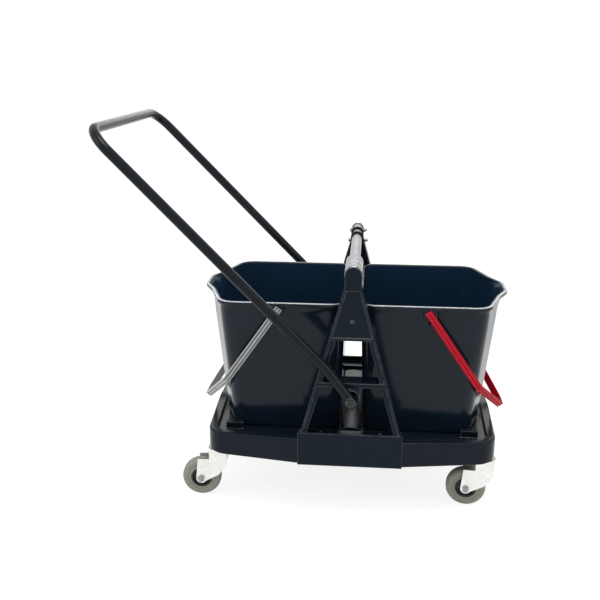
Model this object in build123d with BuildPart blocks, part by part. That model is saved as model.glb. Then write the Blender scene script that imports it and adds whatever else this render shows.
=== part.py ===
from build123d import *
from math import cos, hypot, radians, sin, tan
import os

# Double mop bucket trolley: two lift-off buckets on a castor deck, two A-frame towers joined
# by a crossbar, and a push handle that swings over from one end to the other.
# Millimetres, Z up, floor at Z = 0, origin under the middle of the deck.
# +X runs along the two buckets, -Y is the front, and the handle leans towards -X.

os.makedirs("parts", exist_ok=True)

SIDES = {"front": -1, "rear": 1}
ENDS = {"left": -1, "right": 1}

# Clearances
static_clearance = 0.05        # radial, between fixed pieces
running_clearance = 0.05       # radial, between turning pieces
seat_gap = 0.3                 # between faces of pieces that move apart

# Overall sizes
wheel_radius = 37.5
bucket_nose = 276              # middle of the trolley to the wall's far end, at the rim
bucket_half_width = 151        # outer face of the wall, at the rim
bucket_height = 256            # tray to rim
handle_length = 645            # pivot to the grip's axis

# Deck
deck_setback = 8               # end corners, short of the bucket's nose
deck_end_bow = 7               # bulge of each end past its corners
deck_end_taper = 18            # each side, from the towers to the ends
deck_corner_radius = 40
deck_bend_radius = 60
deck_height = 47               # castor sockets to the top of the raised border
tray_depth = 9                 # below the raised border
deck_thickness = 5
deck_border = 16
deck_edge_radius = 4
skirt_wall = 4
skirt_drop = 1.5               # below the castor sockets, at the towers
skirt_end_lift = 5.5           # ends of the skirt, above its lowest line
socket_radius = 13             # boss round each castor's stem
rib_thickness = 3
rib_depth = 20
rib_offset = 62
block_length = 32
block_width = 12
block_height = 13
block_back = 54                # middle of a locating block, short of the bucket's nose
block_gap = 3                  # between a locating block and the line of the bucket's side
ridge_gap = 1.6                # between the middle ridge and each bucket
ridge_crown = 3                # middle of the ridge, above its long edges
ridge_half_length = 150

# Buckets
bucket_inner_end = 14
bucket_vee = 35                # length of the V-shaped end, to the nose
bucket_throat_back = 3.5       # where the V-shaped end meets the spout, short of the nose
bucket_throat_half = 67
bucket_nose_half = 27
spout_flare = 12
spout_pinch = 4                # rim drawn in beside the spout
spout_depth = 48
side_draft = 4.7
corner_draft = 4.7             # outer corners
nose_draft = 6.0
inner_draft = 1.8
throat_draft = 2.0
bucket_wall = 3.2
bucket_base = 4
inner_corner_radius = 26
outer_corner_radius = 32
throat_radius = 40
nose_radius = 40
lip_out = 5
lip_height = 8
lip_edge_radius = 2.4

# Bails
bail_pivot_back = 138          # short of the bucket's nose
bail_boss_drop = 1             # top of the boss, below the rim
bail_tip_out = 19.7            # tip at rest, past the bucket's nose
bail_tip_rise = 5.3            # tip at rest, above the deck's border
bail_vee = 114                 # bend to tip
bail_tip_half = 18
bail_thickness = 6
bail_width = 13
bail_overrun = 7               # arm past the pivot
bail_gap = 3                   # between the arm and the lip
bail_bend_radius = 24
bail_tip_radius = 11
bail_groove_width = 2.4
bail_groove_depth = 1.2
bail_groove_offset = 3
bail_pin_radius = 4.5
bail_pin_depth = 6.5           # into the bucket's boss
bail_boss_radius = 13
bail_boss_gap = 0.6
bail_boss_root = 2.5           # boss into the wall
bail_stop_radius = 3
bail_stop_along = 16           # from the pivot, along the arm

# Towers
tower_gap = 11                 # between the bucket's lip and the tower
tower_depth = 36
tower_overhang = 3             # past the deck's side
tower_foot_half = 95
foot_panel_margin = 1          # foot panel past the foot, each way
foot_panel_thickness = 6
tower_base_thickness = 6
tower_leg_width = 12
tower_flange = 4.5             # raised edge along the legs and the panel
tower_head_half = {-1: 15, 1: 13}      # front and rear
crossbar_rise = 67             # crossbar's axis above the rims
sill_height = 16               # foot panel above the deck's border
pivot_rise = 90                # handle pivot above the deck's border
shelf_rise = 17                # above the handle pivot
shelf_height = 8
window_height = 80             # upper window
neck_drop = {-1: 24, 1: 15}    # end of the taper, below the crossbar's axis, front and rear
sleeve_seat_drop = 23          # bottom of the sleeve's recess, below the crossbar's axis
panel_drop = 28                # top of the recessed panel, below the crossbar's axis
panel_sill = 5                 # strip between the upper window and the panel
panel_recess = 3
panel_thickness = 5
gate_mark_below = 13.5         # below the panel's middle
gate_mark_radius = 2.6
head_plate = 6
spigot_radius = 13
spigot_length = 26
tower_screw_x = 54
tower_screw_inset = 14         # from the tower's inner face
tower_screw_radius = 2
tower_screw_head_radius = 4.5
tower_screw_head = 3
tower_screw_length = 17
rear_cheek_rise = 3            # cheeks beside the crossbar, above its axis
rear_bolt_radius = 2.5
rear_bolt_head_radius = 4.5
rear_bolt_drop = 22            # lower cross bolt, below the crossbar
rear_bolt_overhang = 7
hex_head_height = 3.5

# Crossbar
tube_radius = 10
tube_wall = 1.5
tube_setback = 37              # tube's end, inside the sleeve
sleeve_radius = 15.8
sleeve_length = 92             # full-size part
sleeve_cone = 16
sleeve_end_wall = 1.5          # round the tube at the cone's end
sleeve_rings = (9, 28)         # grooves round it, from its front end
sleeve_ring_width = 3
sleeve_ring_depth = 0.8
spigot_play = 2                # past the spigot's end
cap_rim = 2.5                  # past the tube, all round
cap_gap = 1                    # between the cap and the passing handle
cap_spigot = 14
cap_edge_radius = 4
collar_rim = 3                 # past the tube, all round
collar_width = 12
collar_gaps = (8, 55)          # from the rear tower's inner face
collar_edge_radius = 1.5

# Handle
handle_stand_off = 19          # tube's axis, outside the tower
handle_lean = 43.6             # from upright, at rest
handle_radius = 9
handle_wall = 1.5
handle_bend = 46
handle_set_along = 70          # slight bend in each leg, from the pivot
handle_set_out = 8             # bend off the line from pivot to grip
handle_set_radius = 120
handle_heel = 11               # tube past the pivot
plug_cap = 2
plug_depth = 4
handle_bush_radius = 5
stop_pin_radius = 2.5
stop_pin_along = 11            # stop pin, from the pivot
stop_pin_play = 0.6            # under the pin, in its groove
stop_groove_depth = 6
pivot_boss_half = 17
pad_radius = 15
nut_inset = 2                  # nut's seat, from the tower's inner face
pivot_bolt_radius = 4
pivot_bolt_head = 5.5
pivot_bolt_head_radius = 7.5
pivot_bolt_end = 1             # bolt past the nut
pivot_washer_radius = 9
pivot_washer = 1.2
pivot_nut = 6.5

# Castors
castor_end_inset = 13          # kingpin, from the deck's end corners
castor_side_inset = 42
castor_rise = 28               # wheel's top to the deck's sockets
castor_turn = {"front_left": 3, "front_right": -6, "rear_left": 172, "rear_right": 5}
castor_trail = 33
stem_radius = 5.5
stem_length = 29
stem_flange_radius = 17
stem_flange = 3
stem_pin_radius = 5
stem_head_radius = 9
stem_head = 3.2
ball_radius = 2.5
ball_count = 12
ball_pitch_radius = 12.8
crown_radius = 20
crown_thickness = 3
crown_rim_wall = 2.5
crown_rim_height = 4
fork_gap = 14                  # inside of each leg from the wheel's middle
fork_thickness = 2.5
fork_axle_boss = 10
fork_back = 17                 # leg's top, behind and ahead of the kingpin
fork_front = 17
fork_cheek = 30                # leg's back edge turns in, above the axle
fork_chin_back = 34            # lowest corner of the back edge, from the axle
fork_chin = 8
fork_shoulder = 40             # step in the leg's front edge, above the axle
fork_tail = 6                  # leg at its step, ahead of the axle
tyre_width = 24
tyre_depth = 17
tyre_edge_radius = 8
hub_rim_width = 21
hub_rim_depth = 3
hub_web = 8
hub_core_radius = 11
hub_core_half = 13
axle_radius = 4
bush_radius = 6
axle_head_radius = 6.5
axle_head = 4.5
axle_end = 2.5                 # bolt past the nut

# Worked-out heights
castor_seat = 2 * wheel_radius + castor_rise
crown_top = castor_seat - stem_flange - 2 * ball_radius
crown_bottom = crown_top - crown_thickness
skirt_bottom = castor_seat - skirt_drop
skirt_end_bottom = skirt_bottom + skirt_end_lift
deck_lip = castor_seat + deck_height
deck_floor = deck_lip - tray_depth
underside = deck_floor - deck_thickness
rib_bottom = underside - rib_depth
base_top = deck_lip + tower_base_thickness
sill_top = deck_lip + sill_height
bucket_foot = deck_floor + seat_gap
rim_height = deck_floor + bucket_height
bail_pivot_height = rim_height - bail_boss_drop - bail_boss_radius
crossbar_height = rim_height + crossbar_rise
pivot_height = deck_lip + pivot_rise
shelf_bottom = pivot_height + shelf_rise
shelf_top = shelf_bottom + shelf_height
window_top = shelf_top + window_height
sleeve_seat = crossbar_height - sleeve_seat_drop
panel_top = crossbar_height - panel_drop
gate_mark_height = (window_top + panel_sill + panel_top) / 2 - gate_mark_below

# Worked-out distances from the middle, along the trolley
deck_half_length = bucket_nose - deck_setback
castor_x = deck_half_length - castor_end_inset
bucket_corner = bucket_nose - bucket_vee
bucket_throat = bucket_nose - bucket_throat_back
bail_pivot_x = bucket_nose - bail_pivot_back
block_x = bucket_nose - block_back
ridge_half = bucket_inner_end + (bucket_height - block_height) * tan(radians(inner_draft)) - ridge_gap
foot_panel_half = tower_foot_half + foot_panel_margin

# Worked-out distances from the middle, across the trolley
tower_inner = bucket_half_width + lip_out + tower_gap
tower_outer = tower_inner + tower_depth
deck_half_width = tower_outer - tower_overhang
deck_end_half_width = deck_half_width - deck_end_taper
castor_y = deck_end_half_width - castor_side_inset
panel_face = deck_half_width + foot_panel_thickness
bail_arm_inner = bucket_half_width + lip_out + bail_gap
bail_arm_middle = bail_arm_inner + bail_thickness / 2
tower_screw_y = tower_inner + tower_screw_inset
nut_face = tower_inner + nut_inset
rear_bolt_y = (tower_inner + tower_outer) / 2
handle_half_spacing = tower_outer + handle_stand_off
handle_inner = handle_half_spacing - handle_radius
handle_outer = handle_half_spacing + handle_radius
pad_face = handle_inner - 2 * seat_gap
sleeve_start = -(tower_outer - head_plate)
tube_start = sleeve_start + tube_setback
cap_length = handle_inner - cap_gap - tower_outer

# Worked-out bail and wheel sizes
bail_run = bail_pivot_back + bail_tip_out
bail_fall = bail_pivot_height - deck_lip - bail_tip_rise
bail_reach = hypot(bail_run, bail_fall)
bail_out, bail_down = bail_run / bail_reach, bail_fall / bail_reach
bail_arm = bail_reach - bail_vee
tyre_bore = wheel_radius - tyre_depth
hub_radius = tyre_bore - static_clearance
fork_outer = fork_gap + fork_thickness


def side_plane(side, distance):
    """Upright plane facing outwards at the front (-1) or rear (1); its x is level, its y is up."""
    return Plane(origin=(0, side * distance, 0), x_dir=(-side, 0, 0), z_dir=(0, side, 0))


def leaning_plane(x, height, lean_x, lean_z):
    """Plane through an axis along Y at (x, height); its x runs along +Y, its y along the lean."""
    return Plane(origin=(x, 0, height), x_dir=(0, 1, 0), z_dir=(lean_z, 0, -lean_x))


def save(piece, name):
    piece.part.label = name
    export_step(piece.part, f"parts/{name}.step")


def deck_outline(inset=0):
    """Deck seen from above, as a sketch at Z = 0."""
    tower_x, end_x = foot_panel_half, deck_half_length
    corner = [(tower_x, -deck_half_width), (end_x, -deck_end_half_width)]
    right = corner + [(end_x + deck_end_bow, 0)] + [(x, -y) for x, y in reversed(corner)]
    left = [(-x, y) for x, y in reversed(right)]
    radii = [deck_bend_radius, deck_corner_radius, deck_half_length, deck_corner_radius, deck_bend_radius]
    with BuildSketch() as outline:
        with BuildLine():
            FilletPolyline(*right, *left, radius=radii + radii, close=True)
        make_face()
        if inset:
            offset(amount=-inset, mode=Mode.REPLACE)
    return outline.sketch


def bucket_outline(end, height, spout=0, grow=0):
    """Bucket wall seen from above at a height, as a sketch at Z = 0; spout goes from 0 to 1 at the rim."""
    drop = rim_height - height
    corner_in, nose_in = drop * tan(radians(corner_draft)), drop * tan(radians(nose_draft))
    inner = end * (bucket_inner_end + drop * tan(radians(inner_draft)))
    half = bucket_half_width - drop * tan(radians(side_draft))
    throat_half = bucket_throat_half - drop * tan(radians(throat_draft))
    near_side = [
        (inner, -half),
        (end * (bucket_corner - corner_in), -half),
        (end * (bucket_throat - nose_in - spout * spout_pinch), -throat_half),
        (end * (bucket_nose - nose_in + spout * spout_flare), -bucket_nose_half),
    ]
    far_side = [(x, -y) for x, y in reversed(near_side)]
    radii = [inner_corner_radius, outer_corner_radius, throat_radius, nose_radius]
    with BuildSketch() as outline:
        with BuildLine():
            FilletPolyline(*near_side, *far_side, radius=radii + radii[::-1], close=True)
        make_face()
        if grow:
            offset(amount=grow, mode=Mode.REPLACE)
    return outline.sketch


def bucket_body(end, foot, grow=0):
    """Bucket outline lofted from its foot, through the spout's root, to the rim."""
    with BuildPart() as body:
        for height, spout in ((foot, 0), (rim_height - spout_depth, 0), (rim_height, 1)):
            with BuildSketch(Plane.XY.offset(height)):
                add(bucket_outline(end, height, spout, grow))
        loft(ruled=True)
    return body.part


def wall_face(height):
    """Distance of the bucket's side wall from the middle at a height."""
    return bucket_half_width - (rim_height - height) * tan(radians(side_draft))


def half_at(side, height):
    """Half width of a tower at a height: tapering up to its neck, straight above it."""
    run = min(1, (height - deck_lip) / (crossbar_height - neck_drop[side] - deck_lip))
    return tower_foot_half + (tower_head_half[side] - tower_foot_half) * run


def tower_band(side, low, high, inset=0):
    """Symmetrical band of a tower between two heights, as a sketch at Z = 0."""
    neck = crossbar_height - neck_drop[side]
    heights = [height for height in (low, neck, high) if low <= height <= high]
    right = [(half_at(side, height) - inset, height) for height in heights]
    left = [(-x, y) for x, y in reversed(right)]
    with BuildSketch() as band:
        with BuildLine():
            Polyline(*right, *left, close=True)
        make_face()
    return band.sketch


def tower_frame(side):
    """Flanged A-frame with two windows, recessed panel, foot and a boss for the handle's pivot."""
    webs = [
        tower_band(side, sill_top, shelf_bottom, tower_flange),
        tower_band(side, shelf_top, window_top, tower_flange),
        tower_band(side, window_top + panel_sill, panel_top, tower_flange),
    ]
    with BuildLine() as groove:
        CenterArc((0, pivot_height), stop_pin_along, 90 - handle_lean, 2 * handle_lean)
    with BuildPart() as frame:
        with BuildSketch(side_plane(side, tower_inner)):
            add(tower_band(side, deck_lip, crossbar_height))
            with Locations((0, crossbar_height)):
                Circle(tower_head_half[side])
        extrude(amount=tower_depth)
        with BuildSketch(side_plane(side, tower_inner)):
            add(tower_band(side, base_top, shelf_bottom, tower_leg_width))
            add(tower_band(side, shelf_top, window_top, tower_leg_width))
        extrude(amount=tower_depth, mode=Mode.SUBTRACT)
        with BuildSketch(side_plane(side, tower_outer)):
            add(webs)
        extrude(amount=-panel_recess, mode=Mode.SUBTRACT)
        with BuildSketch(side_plane(side, tower_inner)):
            add(webs)
        extrude(amount=tower_depth - panel_recess - panel_thickness, mode=Mode.SUBTRACT)
        with BuildSketch(side_plane(side, tower_outer - panel_recess)):
            with Locations((0, gate_mark_height)):
                Circle(gate_mark_radius)
        extrude(amount=gate_mark_radius / 2)
        with BuildSketch(side_plane(side, deck_half_width)):
            with Locations((0, (skirt_bottom + sill_top) / 2)):
                Rectangle(2 * foot_panel_half, sill_top - skirt_bottom)
        extrude(amount=foot_panel_thickness)
        with BuildSketch(Plane.XY.offset(deck_lip)):
            with Locations((0, side * (tower_inner + panel_face) / 2)):
                Rectangle(2 * tower_foot_half, panel_face - tower_inner)
        extrude(amount=tower_base_thickness)
        with BuildSketch(Plane.XY.offset(base_top)):
            with Locations(*[(end * tower_screw_x, side * tower_screw_y) for end in ENDS.values()]):
                Circle(tower_screw_radius + static_clearance)
        extrude(amount=-tower_base_thickness, mode=Mode.SUBTRACT)
        # Boss under the shelf with a round pad, drilled for the bolt and grooved for the stop pin
        with BuildSketch(side_plane(side, nut_face)):
            with Locations((0, pivot_height)):
                Circle(pivot_boss_half)
            with Locations((0, (pivot_height + shelf_bottom) / 2)):
                Rectangle(2 * pivot_boss_half, shelf_bottom - pivot_height)
        extrude(amount=tower_outer - nut_face)
        with BuildSketch(side_plane(side, tower_outer)):
            with Locations((0, pivot_height)):
                Circle(pad_radius)
        extrude(amount=pad_face - tower_outer)
        with BuildSketch(side_plane(side, nut_face)):
            with Locations((0, pivot_height)):
                Circle(pivot_bolt_radius + static_clearance)
        extrude(amount=pad_face - nut_face, mode=Mode.SUBTRACT)
        with BuildSketch(side_plane(side, pad_face)):
            SlotArc(groove.edge(), 2 * (stop_pin_radius + seat_gap))
        extrude(amount=-stop_groove_depth, mode=Mode.SUBTRACT)
    return frame.part


# Deck with its skirt, tray, ribs, castor sockets and bucket locators
deck_face = deck_outline()
tray_face = deck_outline(deck_border)
hollow_face = deck_outline(skirt_wall)
with BuildPart() as chassis_base:
    with BuildSketch(Plane.XY.offset(skirt_bottom)):
        add(deck_face)
    extrude(amount=deck_lip - skirt_bottom)
    fillet(chassis_base.edges().group_by(Axis.Z)[-1], radius=deck_edge_radius)
    with BuildSketch(Plane.XY.offset(deck_floor)):
        add(tray_face)
    extrude(amount=deck_lip - deck_floor, mode=Mode.SUBTRACT)
    with BuildSketch(Plane.XY.offset(skirt_bottom)):
        add(hollow_face)
    extrude(amount=underside - skirt_bottom, mode=Mode.SUBTRACT)
    deck_end = deck_half_length + deck_end_bow
    with BuildSketch(Plane.XZ):
        for end in ENDS.values():
            with BuildLine():
                Polyline(
                    (end * foot_panel_half, skirt_bottom),
                    (end * deck_end, skirt_bottom),
                    (end * deck_end, skirt_end_bottom),
                    close=True,
                )
            make_face()
    extrude(amount=deck_half_width, both=True, mode=Mode.SUBTRACT)
    with BuildSketch(Plane.XY.offset(rib_bottom)):
        with Locations((0, -rib_offset), (0, rib_offset)):
            Rectangle(2 * (deck_half_length - skirt_wall), rib_thickness)
        with Locations((-2 * rib_offset, 0), (0, 0), (2 * rib_offset, 0)):
            Rectangle(rib_thickness, 2 * (deck_end_half_width - skirt_wall))
    extrude(amount=underside - rib_bottom)
    castor_places = [(x * castor_x, y * castor_y) for x in ENDS.values() for y in SIDES.values()]
    with BuildSketch(Plane.XY.offset(castor_seat)):
        with Locations(*castor_places):
            Circle(socket_radius)
    extrude(amount=underside - castor_seat)
    with BuildSketch(Plane.XY.offset(castor_seat)):
        with Locations(*castor_places):
            Circle(stem_radius + static_clearance)
    extrude(amount=stem_length + seat_gap, mode=Mode.SUBTRACT)
    # Pads that carry the towers' bases
    pad_outer = deck_half_width - deck_border / 2
    with BuildSketch(Plane.XY.offset(underside)):
        for side in SIDES.values():
            with Locations((0, side * (tower_inner + pad_outer) / 2)):
                Rectangle(2 * tower_foot_half, pad_outer - tower_inner)
    extrude(amount=deck_lip - underside)
    with BuildSketch(Plane.XY.offset(deck_lip)):
        for side in SIDES.values():
            with Locations(*[(end * tower_screw_x, side * tower_screw_y) for end in ENDS.values()]):
                Circle(tower_screw_radius + static_clearance)
    extrude(amount=tower_base_thickness - tower_screw_length - seat_gap, mode=Mode.SUBTRACT)
    # Locating blocks beside the buckets' feet, and a crowned ridge between the buckets
    block_y = wall_face(bucket_foot + block_height) + block_gap + block_width / 2
    with BuildSketch(Plane.XY.offset(deck_floor)):
        for side in SIDES.values():
            with Locations(*[(end * block_x, side * block_y) for end in ENDS.values()]):
                Rectangle(block_length, block_width)
    extrude(amount=block_height)
    ridge_top = deck_floor + block_height
    ridge_edge = ridge_top - ridge_crown
    with BuildSketch(Plane.XZ):
        with BuildLine():
            Polyline(
                (ridge_half, ridge_edge), (ridge_half, deck_floor),
                (-ridge_half, deck_floor), (-ridge_half, ridge_edge),
            )
            ThreePointArc((-ridge_half, ridge_edge), (0, ridge_top), (ridge_half, ridge_edge))
        make_face()
    extrude(amount=ridge_half_length, both=True)
save(chassis_base, "chassis_base")

# Front tower: closed head plate with a spigot for the crossbar's sleeve
front_frame = tower_frame(SIDES["front"])
head_half = tower_head_half[SIDES["front"]]
with BuildPart() as front_tower:
    add(front_frame)
    with BuildSketch(side_plane(SIDES["front"], tower_inner)):
        with Locations((0, (sleeve_seat + crossbar_height + head_half) / 2)):
            Rectangle(2 * head_half, crossbar_height + head_half - sleeve_seat)
    extrude(amount=tower_depth - head_plate, mode=Mode.SUBTRACT)
    with BuildSketch(side_plane(SIDES["front"], tower_outer - head_plate)):
        with Locations((0, crossbar_height)):
            Circle(spigot_radius)
    extrude(amount=-spigot_length)
save(front_tower, "front_tower")

# Rear tower: head open at the top, with cheeks beside the crossbar for the cross bolts
rear_half = tower_head_half[SIDES["rear"]]
trough_radius = tube_radius + static_clearance
rear_frame = tower_frame(SIDES["rear"])
with BuildPart() as rear_tower:
    add(rear_frame)
    with BuildSketch(side_plane(SIDES["rear"], tower_inner)):
        with Locations((0, crossbar_height)):
            Circle(trough_radius)
        with Locations((0, crossbar_height + rear_half / 2)):
            Rectangle(2 * trough_radius, rear_half)
        with Locations((0, crossbar_height + rear_cheek_rise + rear_half / 2)):
            Rectangle(2 * rear_half, rear_half)
    extrude(amount=tower_depth, mode=Mode.SUBTRACT)
    with BuildSketch(Plane.YZ):
        with Locations(*[(rear_bolt_y, crossbar_height - drop) for drop in (0, rear_bolt_drop)]):
            Circle(rear_bolt_radius + static_clearance)
    extrude(amount=tower_foot_half, both=True, mode=Mode.SUBTRACT)
save(rear_tower, "rear_tower")

# Crossbar tube, drilled for the upper cross bolt
with BuildPart() as crossbar_tube:
    with BuildSketch(side_plane(SIDES["front"], -tube_start)):
        with Locations((0, crossbar_height)):
            Circle(tube_radius)
            Circle(tube_radius - tube_wall, mode=Mode.SUBTRACT)
    extrude(amount=tube_start - tower_outer)
    with BuildSketch(Plane.YZ):
        with Locations((rear_bolt_y, crossbar_height)):
            Circle(rear_bolt_radius + static_clearance)
    extrude(amount=tube_radius, both=True, mode=Mode.SUBTRACT)
save(crossbar_tube, "crossbar_tube")

# Stepped sleeve between the front head and the tube
crossbar_axis = Axis((0, 0, crossbar_height), (0, 1, 0))
ring_radius = sleeve_radius - sleeve_ring_depth
sleeve_shoulder = sleeve_start + sleeve_length
sleeve_end = sleeve_shoulder + sleeve_cone
spigot_end = sleeve_start + spigot_length + spigot_play
sleeve_profile = [(sleeve_start, spigot_radius + static_clearance), (sleeve_start, sleeve_radius)]
for along in sleeve_rings:
    ring = sleeve_start + along
    sleeve_profile += [
        (ring - sleeve_ring_width, sleeve_radius),
        (ring - sleeve_ring_width, ring_radius),
        (ring, ring_radius),
        (ring, sleeve_radius),
    ]
sleeve_profile += [
    (sleeve_shoulder, sleeve_radius),
    (sleeve_end, tube_radius + sleeve_end_wall),
    (sleeve_end, tube_radius + static_clearance),
    (spigot_end, tube_radius + static_clearance),
    (spigot_end, spigot_radius + static_clearance),
]
with BuildPart() as crossbar_sleeve:
    with BuildSketch(Plane.YZ):
        with BuildLine():
            Polyline(*[(y, crossbar_height + r) for y, r in sleeve_profile], close=True)
        make_face()
    revolve(axis=crossbar_axis)
save(crossbar_sleeve, "crossbar_sleeve")

# Cap on the crossbar's rear end
with BuildPart() as crossbar_end_cap:
    with BuildSketch(side_plane(SIDES["rear"], tower_outer)):
        with Locations((0, crossbar_height)):
            Circle(tube_radius + cap_rim)
    extrude(amount=cap_length)
    fillet(crossbar_end_cap.edges().group_by(Axis.Y)[-1], radius=cap_edge_radius)
    with BuildSketch(side_plane(SIDES["rear"], tower_outer)):
        with Locations((0, crossbar_height)):
            Circle(tube_radius - tube_wall - static_clearance)
    extrude(amount=-cap_spigot)
save(crossbar_end_cap, "crossbar_end_cap")

# Two collars on the tube in front of the rear tower
with BuildPart() as crossbar_collars:
    for gap in collar_gaps:
        with BuildSketch(side_plane(SIDES["rear"], tower_inner - gap - collar_width)):
            with Locations((0, crossbar_height)):
                Circle(tube_radius + collar_rim)
        extrude(amount=collar_width)
    collar_edges = crossbar_collars.edges().filter_by(GeomType.CIRCLE)
    fillet(collar_edges, radius=collar_edge_radius)
    for gap in collar_gaps:
        with BuildSketch(side_plane(SIDES["rear"], tower_inner - gap - collar_width)):
            with Locations((0, crossbar_height)):
                Circle(tube_radius + static_clearance)
        extrude(amount=collar_width, mode=Mode.SUBTRACT)
save(crossbar_collars, "crossbar_collars")

# Cross bolts through the rear head, heads to the left and nuts to the right
rear_bolts = []
for drop in (0, rear_bolt_drop):
    bolt_height = crossbar_height - drop
    rear_bolts.append((bolt_height, half_at(SIDES["rear"], bolt_height - rear_bolt_head_radius)))
with BuildPart() as rear_head_bolts:
    for height, half in rear_bolts:
        with BuildSketch(Plane.YZ.offset(-half)):
            with Locations((rear_bolt_y, height)):
                RegularPolygon(rear_bolt_head_radius, 6)
        extrude(amount=-hex_head_height)
        with BuildSketch(Plane.YZ.offset(-half)):
            with Locations((rear_bolt_y, height)):
                Circle(rear_bolt_radius)
        extrude(amount=2 * half + rear_bolt_overhang)
save(rear_head_bolts, "rear_head_bolts")

with BuildPart() as rear_head_nuts:
    for height, half in rear_bolts:
        with BuildSketch(Plane.YZ.offset(half)):
            with Locations((rear_bolt_y, height)):
                RegularPolygon(rear_bolt_head_radius, 6)
                Circle(rear_bolt_radius + static_clearance, mode=Mode.SUBTRACT)
        extrude(amount=hex_head_height)
save(rear_head_nuts, "rear_head_nuts")

# Screws that hold the towers' bases to the deck
with BuildPart() as tower_screws:
    for side in SIDES.values():
        for end in ENDS.values():
            with BuildSketch(Plane.XY.offset(base_top)):
                with Locations((end * tower_screw_x, side * tower_screw_y)):
                    Circle(tower_screw_head_radius)
            extrude(amount=tower_screw_head)
            with BuildSketch(Plane.XY.offset(base_top)):
                with Locations((end * tower_screw_x, side * tower_screw_y)):
                    Circle(tower_screw_radius)
            extrude(amount=-tower_screw_length)
save(tower_screws, "tower_screws")

# Pivot bolts, washers and nuts of the handle
washer_face = handle_outer + 2 * seat_gap
bolt_face = washer_face + pivot_washer
bolt_start = nut_face - pivot_nut - pivot_bolt_end
with BuildPart() as handle_pivot_bolts:
    for side in SIDES.values():
        with BuildSketch(side_plane(side, bolt_start)):
            with Locations((0, pivot_height)):
                Circle(pivot_bolt_radius)
        extrude(amount=bolt_face - bolt_start)
        with BuildSketch(side_plane(side, bolt_face)):
            with Locations((0, pivot_height)):
                RegularPolygon(pivot_bolt_head_radius, 6)
        extrude(amount=pivot_bolt_head)
save(handle_pivot_bolts, "handle_pivot_bolts")

with BuildPart() as handle_pivot_washers:
    for side in SIDES.values():
        with BuildSketch(side_plane(side, washer_face)):
            with Locations((0, pivot_height)):
                Circle(pivot_washer_radius)
                Circle(pivot_bolt_radius + static_clearance, mode=Mode.SUBTRACT)
        extrude(amount=pivot_washer)
save(handle_pivot_washers, "handle_pivot_washers")

with BuildPart() as handle_pivot_nuts:
    for side in SIDES.values():
        with BuildSketch(side_plane(side, nut_face)):
            with Locations((0, pivot_height)):
                RegularPolygon(pivot_bolt_head_radius, 6)
                Circle(pivot_bolt_radius + static_clearance, mode=Mode.SUBTRACT)
        extrude(amount=-pivot_nut)
save(handle_pivot_nuts, "handle_pivot_nuts")

# Handle: one bent tube with bushes at its pivots and plugs in its ends
lean_x, lean_z = -sin(radians(handle_lean)), cos(radians(handle_lean))
handle_plane = leaning_plane(0, pivot_height, lean_x, lean_z)
set_length = hypot(handle_set_along, handle_set_out)
heel = (-handle_heel * handle_set_along / set_length, -handle_heel * handle_set_out / set_length)
stop_x, stop_z = stop_pin_along * lean_x, pivot_height + stop_pin_along * lean_z
with BuildPart() as handle_tube:
    with BuildLine(handle_plane) as handle_route:
        FilletPolyline(
            (-handle_half_spacing, *heel),
            (-handle_half_spacing, handle_set_along, handle_set_out),
            (-handle_half_spacing, handle_length, 0),
            (handle_half_spacing, handle_length, 0),
            (handle_half_spacing, handle_set_along, handle_set_out),
            (handle_half_spacing, *heel),
            radius=[handle_set_radius, handle_bend, handle_bend, handle_set_radius],
        )
    with BuildSketch(Plane(origin=handle_route.line @ 0, x_dir=(0, 1, 0), z_dir=handle_route.line % 0)):
        Circle(handle_radius)
        Circle(handle_radius - handle_wall, mode=Mode.SUBTRACT)
    sweep()
    with BuildSketch(Plane.XZ):
        with Locations((0, pivot_height)):
            Circle(handle_bush_radius + static_clearance)
    extrude(amount=handle_outer, both=True, mode=Mode.SUBTRACT)
    for side in SIDES.values():
        with BuildSketch(side_plane(side, handle_half_spacing)):
            with Locations((-side * stop_x, stop_z)):
                Circle(stop_pin_radius + static_clearance)
        extrude(amount=-handle_radius, mode=Mode.SUBTRACT)
save(handle_tube, "handle_tube")

# Stop pins in the handle, each running in the groove of its tower's pad
stop_start = pad_face - stop_groove_depth + stop_pin_play
with BuildPart() as handle_stop_pins:
    for side in SIDES.values():
        with BuildSketch(side_plane(side, stop_start)):
            with Locations((-side * stop_x, stop_z)):
                Circle(stop_pin_radius)
        extrude(amount=handle_half_spacing - stop_start)
save(handle_stop_pins, "handle_stop_pins")

with BuildPart() as handle_pivot_bushes:
    for side in SIDES.values():
        with BuildSketch(side_plane(side, handle_inner - seat_gap)):
            with Locations((0, pivot_height)):
                Circle(handle_bush_radius)
                Circle(pivot_bolt_radius + running_clearance, mode=Mode.SUBTRACT)
        extrude(amount=2 * (handle_radius + seat_gap))
save(handle_pivot_bushes, "handle_pivot_bushes")

with BuildPart() as handle_end_plugs:
    for side in SIDES.values():
        tube_end = handle_plane.from_local_coords((side * handle_half_spacing, *heel))
        pivot = Vector(0, side * handle_half_spacing, pivot_height)
        heel_plane = Plane(origin=tube_end, x_dir=(0, 1, 0), z_dir=pivot - tube_end)
        with BuildSketch(heel_plane):
            Circle(handle_radius - handle_wall - static_clearance)
        extrude(amount=plug_depth)
        with BuildSketch(heel_plane):
            Circle(handle_radius)
        extrude(amount=-plug_cap)
save(handle_end_plugs, "handle_end_plugs")

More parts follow.
